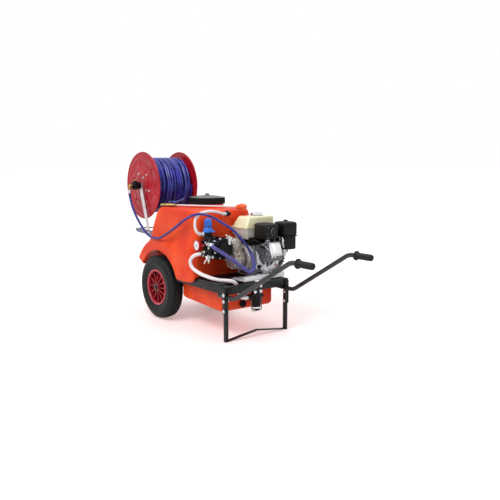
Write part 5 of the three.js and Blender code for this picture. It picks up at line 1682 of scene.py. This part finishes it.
# ---- pump
@dataclass(frozen=True)
class Pump:
    """The diaphragm pump with its gearbox, valves, regulator and gauge."""

    low_shaft: tuple = (540, 0, 426)
    high_shaft: tuple = (524, 0, 502)
    centre: tuple = (510, -125, 500)
    head_x: tuple = (430, 590)
    regulator: tuple = (458, -160)
    gauge: tuple = (437, 513)

    def build(self) -> None:
        """Builds the pump's pieces."""
        self.gearbox()
        self.castings()
        self.bolts()
        self.fittings()
        self.regulator_knob()
        self.gauge_dial()
        self.taps()

    def gearbox(self) -> None:
        """Builds the reduction gearbox between engine and pump."""
        low, high = Vector(self.low_shaft), Vector(self.high_shaft)
        form = Form().lathe([(0, -58.7), (52, -58.7), (56, -55), (58, -50), (58, -28), (61, -27), (61, -21),
                             (58, -20), (58, -2), (55, 3), (48, 6.5), (0, 6.5)], low, Y, 80)
        form.lathe([(0, -58), (41, -58), (45, -54), (46, -50), (46, -28), (49, -27), (49, -21), (46, -20),
                    (46, -4), (42, 3), (0, 4)], high, Y)
        form.lathe([(0, 0), (36, 0), (40, 2), (40, 12), (34, 16), (0, 16)], high - Y * 58, -Y, 48)
        form.block((494, 566), (-52, 2), (372, 396), 3)
        for i in range(7):
            x = 496 + i * 12
            form.block((x, x + 4), (-56, 2), (468 - abs(i - 3) * 5, 540 - abs(i - 3) * 9), 1.5)
        form.piece("reduction_gearbox", OILY_CAST, "gearbox")
        bolts = Form()
        bolts.bolt_ring(low - Y * 57, -Y, 50, 8, 0.2, 8, 4)
        bolts.bolt_ring(high - Y * 55, -Y, 41, 5, 0.1, 8, 4, places=8)
        for y in (-34, 24):
            for i in range(6):
                turn = tau * (i - 1.5) / 14
                bolts.bolt(polar(low + Y * y, 59, turn), polar((0, 0, 0), 1, turn), 8, 4)
        bolts.piece("gearbox_bolts", ZINC)
        plugs = Form()
        for x, z in ((600, 452), (582, 470), (598, 408)):
            plugs.rod((x - 14, -38, z), (x, -38, z), 7)
            plugs.collar(0, 8.5, 5, (x - 1, -38, z), X)
        plugs.piece("gearbox_plugs", BRASS)

    def castings(self) -> None:
        """Builds crankcase, heads and manifolds."""
        x, y, z = self.centre
        low, high = self.head_x
        form = Form().lathe([(0, 59), (48, 59), (52, 62), (52, 178), (49, 184), (30, 187), (0, 187)],
                            (x, 0, z), -Y, 64)
        half = [(0, 444), (54, 444), (58, 448), (58, 462), (64, 464), (64, 476), (56, 478), (50, 490)]
        form.lathe(mirrored(half, x), (0, y, z), X, 80)
        form.lathe([(0, low), (40, low), (46, low + 4), (46, 446), (0, 446)], (0, y, z), X, 64)
        form.lathe([(0, 574), (46, 574), (46, high - 4), (40, high), (0, high)], (0, y, z), X, 64)
        for end, sign in ((low, -1), (high, 1)):
            rib = Form().block((-sign * 12, sign * 1.5), (-2.5, 2.5), (12, 44), 1.2)
            form.turned_copy(rib, (end, y, z), X, 6)
        form.block((446, 568), (-200, -90), (514, 544), 6, 3)
        form.block((446, 560), (-194, -90), (440, 470), 6, 3)
        for a, b in ((460, 482), (514, 538)):
            form.block((a, b), (-198, -140), (455, 530), 5, 3)
            form.block((a - 3, b + 3), (-202, -186), (520, 540), 3, 3)
            form.block((a - 3, b + 3), (-196, -182), (444, 466), 3, 3)
        rx, ry = self.regulator
        form.lathe([(0, 520), (26, 520), (26, 548), (23, 552), (23, 572), (26, 574), (26, 590), (24, 594),
                    (20, 603.7), (0, 603.7)], (rx, ry, 0), Z, 48)
        form.block((rx - 20, rx + 60), (ry - 22, ry + 30), (540, 566), 5, 3)
        form.ball((525, -206, 528), 15)
        form.block((520, 566), (-150, -95), (536, 552), 4, 3)
        form.lathe([(0, 0), (27, 0), (29, 2), (29, 9), (26, 12), (0, 12)], (x + 6, -186, z - 4), -Y, 48)
        form.piece("pump_castings", BLACK_CASTING, "pump_body")

    def bolts(self) -> None:
        """Adds the bright bolts of heads, manifolds and cover."""
        x, y, z = self.centre
        form = Form()
        for face, sign in ((463.8, -1), (556.2, 1)):
            form.bolt_ring((face, y, z), X * sign, 57, 8, 0.35, 9, 6)
        dark = Form()
        for bolts, bx, bz in ((form, 490, 530), (form, 561, 530), (form, 453, 455), (form, 552, 455),
                              (dark, 453, 530), (dark, 498, 455)):
            bolts.bolt((bx, -200 if bz > 500 else -194, bz), -Y, 9, 5)
        dark.bolt_ring((x + 6, -198, z - 4), -Y, 22, 6, 0, 6, 3)
        dark.piece("pump_cover_bolts", BLACK_CASTING)
        for bx in (458, 500, 548):
            form.bolt((bx, -178, 543.6), Z, 9, 5)
        for bx, by, bz in ((480, -203, 476), (526, -203, 506)):
            form.bolt((bx, by, bz), -Y, 9, 5)
        for angle in (0.5, 1.2, 1.9):
            form.bolt((510, y - 66 * sin(angle), z + 66 * cos(angle)),
                      Vector((0, -sin(angle), cos(angle))), 9, 5)
        form.piece("pump_bolts", ZINC)

    def fittings(self) -> None:
        """Builds the ports that the hoses are pushed on, and their nuts."""
        form = Form().rod((456, -180, 464), (456, -205, 464), 10.6)
        form.collar(9, 16, 7, (456, -190, 464), -Y)
        form.rod((450, -176, 578), (450, -199, 578), 8.2)
        form.collar(7, 13.5, 7, (450, -184, 578), -Y)
        form.rod((525, -214, 528), (551, -214, 528), 7)
        form.collar(6, 12, 8, (533, -214, 528), X)
        form.piece("hose_ports", ZINC)

    def regulator_knob(self) -> None:
        """Builds the blue pressure knob with its relief flag."""
        x, y = self.regulator
        form = Form().lathe([(0, 604), (23, 604), (25, 606), (25, 610), (23, 612), (22, 613), (21.4, 652),
                             (19, 660), (14, 665.5), (8, 667), (0, 667)], (x, y, 0), Z, 56)
        rib = Form().block((20.6, 22.8), (-1.3, 1.3), (617, 650), 0.8, 1)
        form.turned_copy(rib, (x, y, 0), Z, 18)
        form.lathe([(27, 588), (28.5, 588), (28.5, 603), (25, 611), (22, 612), (22, 606), (27, 600),
                    (27, 588)], (x, y, 0), Z, 56)
        put = turned((x, y, 0), 0.35, Z)
        form.block((22, 46), (-10, 10), (589, 597), 2.5, 3, place=put)
        form.piece("pressure_knob", BLUE_PLASTIC, "regulator_knob", body=Body.REGULATOR)
        band = Form().lathe([(21, 618), (22.4, 618), (22.4, 624), (21, 624), (21, 618)], (x, y, 0), Z, 56)
        band.piece("pressure_knob_band", BLACK_PLASTIC, body=Body.REGULATOR)

    def gauge_dial(self) -> None:
        """Builds the pressure gauge with its printed dial and needle."""
        x, z = self.gauge
        centre = (x, 0, z)
        case = Form().lathe([(0, 213), (28, 213), (31, 215), (32, 218), (32, 229.6), (31, 231.4), (29.4, 232),
                             (28.2, 231), (28.2, 227), (0, 227)], centre, -Y, 64)
        case.rod((x + 18, -206, z), (x + 34, -196, z), 7)
        case.piece("gauge_bezel", RED_PLASTIC, "gauge_case")
        face = Form().lathe([(0, 227.1), (28, 227.1), (28, 227.6), (0, 227.6)], centre, -Y, 64)
        face.piece("gauge_face", DIAL_WHITE)
        ink = Form()
        for i in range(31):
            turn = radians(225 - 270 * i / 30)
            inner, wide = (20.5, 0.55) if i % 5 == 0 else (23, 0.3)
            put = turned((x, -227.7, z), -turn, Y)
            ink.block((inner, 25.8), (-0.12, 0.12), (-wide, wide), 0, place=put)
        for i in range(7):
            turn = radians(225 - 270 * i / 6)
            self._figure(ink, str(i * 10), polar((x, -227.7, z), 15.6, turn))
        ink.piece("gauge_figures", DIAL_INK)
        put = turned((x, -228.8, z), -radians(225), Y)
        needle = Form().block((-7, 21), (-0.4, 0.4), (-0.7, 0.7), 0.2, 1, place=put)
        needle.lathe([(0, 0), (3, 0), (3, 1.2), (2.4, 1.8), (0, 1.8)], (x, -227.9, z), -Y, 24)
        needle.piece("gauge_pointer", DIAL_INK, "gauge_needle", body=Body.NEEDLE)

    @staticmethod
    def _figure(ink: Form, words: str, at: tuple) -> None:
        """Prints a figure on the dial.

        Args:
            ink: the form that it joins.
            words: the figure.
            at: its middle.
        """
        text = bpy.data.curves.new("figure", "FONT")
        text.body = words
        text.size = 5.6
        text.extrude = 0.1
        text.align_x = "CENTER"
        text.align_y = "CENTER"
        text.resolution_u = 2
        carrier = bpy.data.objects.new("figure", text)
        mesh = bpy.data.meshes.new_from_object(carrier)
        part = bmesh.new()
        part.from_mesh(mesh)
        ink.take(part, turned(at, pi / 2, X))
        bpy.data.objects.remove(carrier)
        bpy.data.curves.remove(text)
        bpy.data.meshes.remove(mesh)

    def taps(self) -> None:
        """Builds the two outlet taps with their bright levers."""
        stems = Form().rod((592, -106, 524), (592, -106, 572), 8)
        stems.collar(7, 12.5, 9, (592, -106, 528), Z)
        stems.collar(7, 11, 7, (592, -106, 563), Z)
        stems.rod((588, -106, 556), (601, -106, 556), 6)
        stems.rod((528, -190, 450), (528, -214, 450), 8)
        stems.collar(7, 12.5, 8, (528, -196, 450), -Y)
        stems.rod((528, -206, 450), (528, -206, 428), 6.5)
        stems.piece("tap_bodies", ZINC)
        tails = Form().rod((528, -206, 430), (528, -206, 416), 5.2)
        tails.rod((592, -106, 571), (592, -106, 580), 4.5)
        tails.piece("tap_tails", BRASS)
        self._butterfly("upper_tap_wing", Body.TAP_UPPER, "tap_lever_upper", (601.3, -106, 556), X, 2.5, 46)
        self._butterfly("lower_tap_wing", Body.TAP_LOWER, "tap_lever_lower", (528, -214.3, 450), -Y, 2.1, 40)

    @staticmethod
    def _butterfly(name: str, body: Body, node: str, hub: tuple, out: Vector, angle: float,
                   reach: float) -> None:
        """Builds a lever with a long bent arm and a short one.

        Args:
            name: the piece's name.
            body: the body that it is.
            node: the CAD node that it stands for.
            hub: where its hub meets the stem.
            out: the stem's direction.
            angle: how far its arm is turned.
            reach: length of its arm.
        """
        at = Vector(hub)
        arm = Matrix.Rotation(angle, 3, X if out.x else Y) @ (Y if out.x else X)
        form = Form().lathe([(0, 0), (7.5, 0), (8, 0.6), (8, 5.4), (7, 6), (4, 6), (4, 9), (0, 9)], at, out,
                            32)
        high = out * 3
        bent = [at + high, at + high + arm * reach * 0.4, at + high + arm * reach * 0.62 + out * 5,
                at + high + arm * reach + out * 5]
        form.wire(smooth_path(bent, 5), 3.6, 12)
        form.wire([at + high, at + high - arm * 18], 3.4, 12)
        side = out.cross(arm).normalized()
        form.wire([at + high - side * 15, at + high + side * 15], 3.2, 12)
        form.piece(name, LEVER_ENAMEL, node, body=body)


# ---- engine
@dataclass(frozen=True)
class Engine:
    """The single-cylinder petrol engine."""

    shaft: tuple = (540, 428)
    tilt: float = 0.32
    cylinder_y: float = 144.0
    fuel_x: tuple = (410, 562)
    fuel_y: tuple = (35, 262)
    fuel_z: tuple = (545, 668)
    filler: tuple = (486, 176, 0)
    muffler_x: tuple = (566, 684)
    muffler_y: tuple = (90, 186)
    muffler_z: tuple = (541, 632)
    cleaner_x: tuple = (612, 722)
    cleaner_y: tuple = (200, 303)
    cleaner_z: tuple = (476, 640)
    fin_pitch: float = 7.0
    front: float = 640.0  # the crankcase's front face
    pull: tuple = (574, 0, 450)  # where the starter's rope comes out, at y = 0

    def build(self) -> None:
        """Builds the engine's pieces."""
        self.crankcase()
        self.cylinder()
        self.valve_cover()
        self.small_castings()
        self.bolts()
        self.fuel_tank()
        self.muffler()
        self.air_cleaner()
        self.recoil()
        self.controls()

    @property
    def middle(self) -> tuple:
        """The crankshaft's axis, at y = 0."""
        return self.shaft[0], 0, self.shaft[1]

    @property
    def along(self) -> Matrix:
        """Turns X into the cylinder's axis, at the crankshaft."""
        return turned(self.middle, -self.tilt, Y)

    def leaning(self, x: float, y: float, z: float) -> Vector:
        """Returns a point that is given along the cylinder's own axes."""
        return self.along @ Vector((x, y, z))

    def crankcase(self) -> None:
        """Casts the crankcase with its foot, side cover and ribs."""
        outline = [(478, 332.6), (628, 332.6), (640, 362.6), (640, 440), (600, 500), (498, 500), (468, 466),
                   (468, 362.6)]
        form = Form().prism(outline, (48, 225), Y, 7)
        form.block((468, 654), (45, 215), (322.6, 334.6), 3, 3)
        form.block((462, 486), (40, 70), (322.6, 332), 3)
        form.block((636, 646), (60, 216), (352, 360), 2)
        # The crankcase is darker grey, which is painted shade.
        form.piece("crankcase_casting", SHADED_CAST, "engine_block")
        cover = Form().lathe([(0, 10), (30, 10), (34, 14), (40, 16), (68, 18), (73, 22), (74, 28), (74, 40),
                              (77, 41), (77, 46), (0, 46)], self.middle, Y, 96)
        rib = Form().block((36, 72), (14, 26), (-2, 2), 1.2)
        rib.block((70, 77.5), (20, 46), (-5, 5), 2, place=Matrix.Rotation(0.2, 4, Y))
        cover.turned_copy(rib, self.middle, Y, 12)
        cover.piece("shaft_side_cover", OILY_CAST)
        self.webs()

    def webs(self) -> None:
        """Casts the webs that spread from the foot to the cylinder, and the filler boss, in near white as
        painted highlight.
        """
        x = self.front
        skirt = [(50, 462), (66, 462), (72, 424), (90, 396), (126, 376), (156, 388), (190, 424), (204, 420),
                 (222, 404), (176, 360), (150, 344), (104, 344), (66, 372), (50, 412)]
        form = Form().prism(skirt, (x - 6, x + 11), X, 4)
        for line, radius in (
                (((x - 4, 56, 474), (x + 9, 57, 440), (x + 11, 72, 404), (x + 11, 98, 380)), 5.0),
                (((x + 9, 128, 358), (x + 7, 112, 404), (x + 3, 104, 446)), 3.6),
                (((x + 9, 128, 358), (x + 7, 146, 402), (x + 3, 158, 446)), 3.6),
                (((x + 8, 128, 358), (x + 5, 190, 372), (x + 2, 216, 392)), 3.2),
                (((x + 9, 128, 362), (x + 9, 128, 340)), 9.0)):
            form.wire(smooth_path(line, 8), radius, 16)
        form.lathe([(0, -4), (20, -4), (20, 5), (18, 7), (16, 8), (0, 8)], (x - 4, 68, 386), X, 40)
        form.block((x - 6, x + 7), (84, 116), (374, 398), 6, 4)
        form.block((466, 655), (44, 216), (324, 333), 3, 3)
        form.block((x - 2, x + 12), (48, 92), (333, 343), 3, 3)
        form.block((x - 2, x + 12), (176, 214), (333, 343), 3, 3)
        form.lathe([(77, 40), (82, 41), (83, 44), (83, 50), (79, 52), (77, 50), (77, 40)], self.middle, Y, 96)
        form.piece("crankcase_webs", LIT_CAST)

    def cylinder(self) -> None:
        """Builds the finned cylinder and head."""
        form = Form().block((46, 128), (104, 184), (-40, 40), 5, place=self.along)
        along = 54.0
        while along < 122:
            form.block((along, along + 2.4), (92, 196), (-50, 52), 1.1, 1, place=self.along)
            along += self.fin_pitch
        head = Form().block((120, 170), (96, 192), (-52, 48), 5, place=self.along)
        while along < 164:
            head.block((along, along + 2.4), (88, 200), (-58, 54), 1.1, 1, place=self.along)
            along += self.fin_pitch
        for y, z in ((100, -44), (188, -44), (100, 42), (188, 42)):
            start, end = self.leaning(118, y, z), self.leaning(171.5, y, z)
            head.rod(start, end, 7, sides=20)
        # Cylinder and head are darker grey, which is painted shade.
        form.piece("finned_cylinder", SHADED_CAST)
        head.piece("finned_head", SHADED_CAST)
        studs = Form()
        for y in (92, 110, 132):
            for dz in (-40, -14, 20):
                studs.bolt(self.leaning(170 if y > 100 else 150, y, dz), X, 7, 4)
        for i, y in enumerate((86, 97, 108)):
            studs.wire(smooth_path([self.leaning(128, y, 52 - i), self.leaning(150, y - 6, 40 - 9 * i),
                                    self.leaning(172, y, 14 - 12 * i)], 6), 2.2, 8)
        studs.piece("cylinder_studs", ZINC)
        plug = Form().rod(self.leaning(150, 88, 20), self.leaning(150, 60, 34), 6.5)
        plug.rod(self.leaning(150, 64, 32), self.leaning(160, 52, 40), 9)
        lead = smooth_path([self.leaning(158, 55, 38), (672, 62, 520), (640, 46, 540), (600, 52, 532),
                            (576, 70, 520)])
        plug.wire(lead, 3.4, 12)
        plug.piece("spark_plug_lead", BLACK_PLASTIC)

    def valve_cover(self) -> None:
        """Presses the bright rounded valve cover."""
        y = self.cylinder_y
        form = Form().block((170.3, 174), (y - 40, y + 40), (-34, 44), 8, 4, place=self.along)
        part = bmesh.new()
        put = turned((183.5, y, 5), pi / 2, Y)
        bmesh.ops.create_cone(part, cap_ends=True, segments=4, radius1=52, radius2=42, depth=25,
                              matrix=put @ Matrix.Rotation(pi / 4, 4, "Z"))
        ease(part, part.edges[:], 11, 5)
        form.take(part, self.along)
        put = self.along @ Matrix.Translation((195.5, y, 5))
        form.block((-1, 1.2), (-22, 22), (-22, 22), 1.5, 3, place=put)
        form.piece("valve_cover_pressing", WHITE_ENAMEL, "valve_cover")
        bolts = Form()
        axis = self.along.to_3x3() @ X
        for dy, dz in ((-34, -28), (34, -28), (-34, 38), (34, 38)):
            bolts.bolt(self.leaning(174, y + dy, dz), axis, 9, 5)
        bolts.piece("valve_cover_bolts", ZINC)

    def small_castings(self) -> None:
        """Builds exhaust stub, intake, carburettor and tank brackets."""
        form = Form().rod((650, 128, 498), (650, 128, 545), 15)
        form.block((630, 670), (110, 146), (500, 508), 3)
        form.block((632, 672), (178, 200), (486, 524), 5, 3)
        form.block((618, 650), (175, 224), (430, 476), 5, 3)
        form.lathe([(0, 0), (15, 0), (18, 3), (18, 16), (0, 16)], (634, 199, 414), Z, 40)
        form.rod((634, 199, 408), (634, 199, 416), 5)
        form.block((640, 656), (186, 212), (470, 490), 3)
        form.lathe([(0, 0), (9, 0), (9, 10), (6, 12), (0, 12)], (664, 214, 452), X, 24)
        form.rod((650, 176, 446), (674, 176, 440), 7)
        form.block((646, 664), (178, 208), (424, 440), 4, 3)
        form.block((661, 699), (206, 238), (456, 484), 5, 3)
        form.lathe([(0, 0), (13, 0), (15, 3), (15, 18), (0, 18)], (684, 222, 440), Z, 32)
        form.rod((684, 222, 434), (684, 222, 442), 5)
        form.block((694, 712), (200, 224), (470, 482), 3, 3)
        # The carburettor is near white, which is painted highlight.
        form.piece("carburettor", LIT_CAST)
        links = Form()
        rods = [
            ((668, 190, 512), (684, 192, 536), (690, 188, 556)),
            ((672, 200, 498), (690, 198, 520), (694, 192, 546)),
            ((660, 206, 470), (680, 200, 486), (676, 190, 512)),
            ((588, 219, 540), (620, 214, 520), (652, 204, 500)),
        ]
        for line in rods:
            links.wire(smooth_path(line, 6), 1.9, 8)
        for i in range(9):
            links.lathe(ring(4.2, 1.0), (600 + i * 3.4, 217.5, 526 - i), X, 16)
        links.block((704, 707), (191, 204), (508, 540), 1.2)
        links.wire(smooth_path([(700, 196, 552), (712, 197, 534), (704, 198, 514), (714, 199, 492)], 8), 2.4,
                   8)
        for i in range(7):
            links.lathe(ring(4.6, 1.2), (709, 197 + i * 0.6, 520 - i * 3.6), Z, 16)
        links.bolt((707, 197, 533), X, 8, 4)
        links.piece("governor_links", ZINC)
        sheet = Form()
        for x in ((476, 498), (536, 558)):
            sheet.block(x, (65, 202), (492, 546), 2, 3)
        sheet.block((570, 598), (185, 221), (490, 540), 2, 3)
        sheet.block((500, 620), (196, 210), (500, 536), 3, 3)
        sheet.piece("engine_brackets", HEAT_BLACK)

    def bolts(self) -> None:
        """Adds the engine's own bolts."""
        form = Form()
        form.bolt_ring(Vector(self.middle) + Y * 19, -Y, 69, 6, 0.3, 9, 5)
        for bx, by in ((474, 54), (646, 62), (646, 205)):
            form.bolt((bx, by, 334), Z, 11, 7)
        form.bolt((645, 104, 346), X, 11, 8)
        for y in (76, 214):
            form.bolt((640, y, 424), X, 8, 5)
        form.rod((652, 150, 346), (662, 150, 346), 6)
        form.piece("engine_bolts", ZINC)

    def fuel_tank(self) -> None:
        """Presses the two halves of the fuel tank with their seam, and its cap."""
        form = Form()
        (x0, x1), (y0, y1), (z0, z1) = self.fuel_x, self.fuel_y, self.fuel_z
        form.frustum((x0 + 2, x1 - 2, y0 + 2, y1 - 2), (x0 + 36, x1 - 6, y0 + 34, y1 - 8), (598, z1), 11)
        form.block((x0, x1), (y0, y1), (600.5, 605), 1.8, 3)
        form.block((x0 + 52, x1 - 20), (y0 + 60, y1 - 24), (z1 - 3, z1 - 0.2), 1.4, 3)
        lower = Form().frustum((x0 + 22, x1 - 12, y0 + 22, y1 - 12), (x0 + 3, x1 - 3, y0 + 3, y1 - 3),
                               (z0 - 12, 602), 9)
        for i in range(6):
            lower.block((x0 + 14 + i * 22, x0 + 18 + i * 22), (y0 + 9, y0 + 20), (z0 + 14, 590), 1.5, 2)
        # The lower half is grey, which is painted shade.
        lower.piece("fuel_tank_lower_pressing", SHADED_ENAMEL)
        form.lathe([(0, 664), (30, 664), (31, 668.5), (28, 669), (0, 669)], self.filler, Z, 48)
        form.piece("fuel_tank_pressing", CREAM, "fuel_tank")
        cap = Form().lathe([(0, 669.4), (36, 669.4), (38, 671), (38, 680), (35, 684.4), (30, 686), (8, 687),
                            (0, 687)], self.filler)
        rib = Form().block((36.6, 39), (-1.8, 1.8), (671.5, 680), 0.9, 1)
        cap.turned_copy(rib, self.filler, Z, 24)
        cap.piece("fuel_filler_cap", CHROME, "fuel_cap", body=Body.FUEL_CAP)

    def muffler(self) -> None:
        """Builds the muffler under its louvred guard, with the round outlet."""
        (x0, x1), (y0, y1), (z0, z1) = self.muffler_x, self.muffler_y, self.muffler_z
        form = Form().block((x0, x1), (y0, y1), (z0, z1), 13, 5)
        middle_y, middle_z = (y0 + y1) / 2, (z0 + z1) / 2 + 2
        outlet = Vector((x1, middle_y + 8, middle_z))
        form.lathe([(9, -2), (9, 3), (12, 4.2), (21, 4.2), (23, 3), (24, -2)], outlet, X, 48)
        for i in range(8):
            at = polar(outlet - X * 0.5, 31, tau * i / 8 + 0.2, X)
            form.rod(at, at + X * 2.6, 3.4, sides=16)
        for i in range(7):
            x = x0 + 16 + i * 13
            form.block((x, x + 5), (y0 - 2.2, y0 + 3), (z0 + 16, z1 - 16), 2, 2)
            form.block((x, x + 5), (y0 + 14, y1 - 14), (z1 - 3, z1 + 2), 2, 2)
        form.block((x1 - 6, x1 + 2.5), (y0 + 4, y1 - 4), (z1 - 14, z1 - 9), 2)
        edge = [(x1 - 1, y0 + 9, z0 + 9), (x1 - 1, y1 - 9, z0 + 9), (x1 - 1, y1 - 9, z1 - 9),
                (x1 - 1, y0 + 9, z1 - 9)]
        form.wire(edge, 3.2, 12, closed=True)
        form.piece("muffler_guard", HEAT_BLACK, "muffler")
        screws = Form()
        for y in (y0 + 12, y1 - 12):
            for z in (z0 + 13, z1 - 19):
                screws.bolt((x1, y, z), X, 6, 3)
        for x in (x0 + 34, x1 - 30):
            screws.bolt((x, y0 + 22, z1), Z, 8, 4)
        screws.lathe([(20, 0), (23.5, 0), (24, 2), (22, 5), (20, 5), (20, 0)], outlet + X * 2, X, 40)
        screws.lathe([(6, 0), (9, 0), (9, 6), (6, 6), (6, 0)], outlet + X * 0.5, X, 24)
        for dy, dz in ((-30, 24), (-34, -8), (-22, -34), (14, -36), (36, -28), (38, 22)):
            screws.bolt((x1 + 1, middle_y + dy, middle_z + dz), X, 5, 2.5, washer=False)
        screws.piece("muffler_screws", DARK_STEEL)

    def air_cleaner(self) -> None:
        """Builds the air cleaner's housing, its lid and the wing nut."""
        (x0, x1), (y0, y1), (z0, z1) = self.cleaner_x, self.cleaner_y, self.cleaner_z
        form = Form().block((x0 + 8, x1 - 7), (y0 + 6, y1 - 7), (z0, 556), 9, 4)
        form.block((x0, x1), (y0, y1), (554, 559), 2.4, 3)
        form.block((x0 + 1, x1 - 1), (y0 + 1, y1 - 1), (556, z1), 16, 6)
        form.block((x0 + 20, x1 - 20), (y0 + 22, y1 - 22), (z1 - 2, z1 + 1.4), 3, 3)
        for i in range(5):
            x = x0 + 22 + i * 15
            form.block((x, x + 5), (y0 + 4.5, y0 + 8), (z0 + 12, 546), 1.5)
        form.lathe([(0, 0), (14, 0), (16, -2), (16, -8), (0, -8)], (667, 251.5, z1 + 2), Z, 40)
        form.piece("air_cleaner_housing", BLACK_PLASTIC, "air_cleaner")
        nut = Form().lathe([(0, 642.4), (8, 642.4), (8, 645), (6, 650), (0, 651.5)], (667, 251.5, 0), Z, 32)
        for sign in (-1, 1):
            wing = [(sign * 4, 643.4), (sign * 17, 646), (sign * 18, 650), (sign * 15, 652.2),
                    (sign * 8, 650), (sign * 4, 650)]
            nut.prism([(667 + a, b) for a, b in wing], (249.6, 253.4), Y, 1)
        nut.piece("air_cleaner_wing", BLACK_PLASTIC, "air_cleaner_nut", body=Body.CLEANER_NUT)

    def recoil(self) -> None:
        """Builds the recoil starter's louvred cover, rope and grip."""
        form = Form().lathe([(60, 225.3), (90, 225.3), (94, 228), (94, 262), (92, 270), (86, 282), (78, 291),
                             (70, 293), (56, 295), (54, 298), (40, 299), (0, 299)], self.middle, Y, 96)
        rib = Form().block((60, 84), (287, 295), (-1.8, 1.8), 1.4)
        rib.block((92, 95.6), (232, 262), (-2.4, 2.4), 1.4)
        form.turned_copy(rib, self.middle, Y, 24)
        form.piece("recoil_housing", HEAT_BLACK, "recoil_cover")
        disc = Form().lathe([(0, 298.4), (36, 298.4), (37, 299.6), (34, 301), (0, 301.4)], self.middle, Y)
        disc.piece("recoil_disc", ZINC)
        pull = Vector(self.pull)
        rope = Form().rod(pull + Y * 292, pull + Y * 306, 2.0, sides=16)
        made = rope.piece("starter_rope", WHITE_HOSE, body=None)
        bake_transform(made)
        grip = Form().lathe([(2.6, 299.5), (6, 299.5), (7, 301), (7, 313), (2.6, 313), (2.6, 299.5)], pull,
                            Y, 32)
        bar = [pull + Vector((x, y, 0)) for x, y in (
            (-33, 318.6), (-22, 320.4), (0, 321), (22, 320.4), (33, 318.6))]
        grip.wire(smooth_path(bar, 6), 8, 16)
        grip.piece("starter_handle", BLACK_PLASTIC, "starter_grip", body=Body.STARTER)

    def controls(self) -> None:
        """Builds throttle, choke, switch and oil cap."""
        throttle = Form().lathe([(0, 0), (7, 0), (7, 4), (0, 5)], (584, 221.3, 532), Y, 32)
        throttle.block((580, 588), (222, 225), (530, 566), 1.2)
        throttle.block((577, 591), (220.6, 228), (560, 573), 3, 3)
        throttle.piece("throttle_arm", YELLOW_PLASTIC, "throttle_lever", body=Body.THROTTLE)
        choke = Form().rod((650, 207, 448), (657, 207, 448), 5.5)
        choke.block((650.5, 655.5), (206, 236), (445, 451), 1.5)
        choke.block((648.5, 657.5), (228, 241), (442, 454), 3, 3)
        choke.piece("choke_arm", BLACK_PLASTIC, "choke_lever", body=Body.CHOKE)
        switch = Form().lathe([(0, 0), (12, 0), (13, 1), (13, 4), (9, 5), (8, 9), (0, 9)], (640.3, 190, 384),
                              X, 32)
        switch.block((648, 656), (187.5, 192.5), (377, 392), 1.6, 3)
        switch.piece("stop_switch", RED_PLASTIC, "engine_switch", body=Body.SWITCH)
        oil = Form().lathe([(0, 4), (13, 4), (14, 5), (14, 10), (12, 12), (0, 12)], (640.3, 68, 386), X, 32)
        oil.block((650, 660), (60, 76), (383, 389), 2, 3)
        oil.piece("oil_filler_cap", BLACK_PLASTIC, "oil_cap", body=Body.OIL_CAP)


def main() -> None:
    """Builds the studio and every part of the cart, and reports each piece."""
    logging.basicConfig(level=logging.INFO, format="%(name)s: %(message)s")
    Studio().build()
    build_hoses()
    Tank().build()
    Chassis().build()
    for side in SIDES:
        Wheel(side).build()
    Filter().build()
    Reel().build()
    SprayGun().build()
    Pump().build()
    Engine().build()


if __name__ == "__main__":
    main()
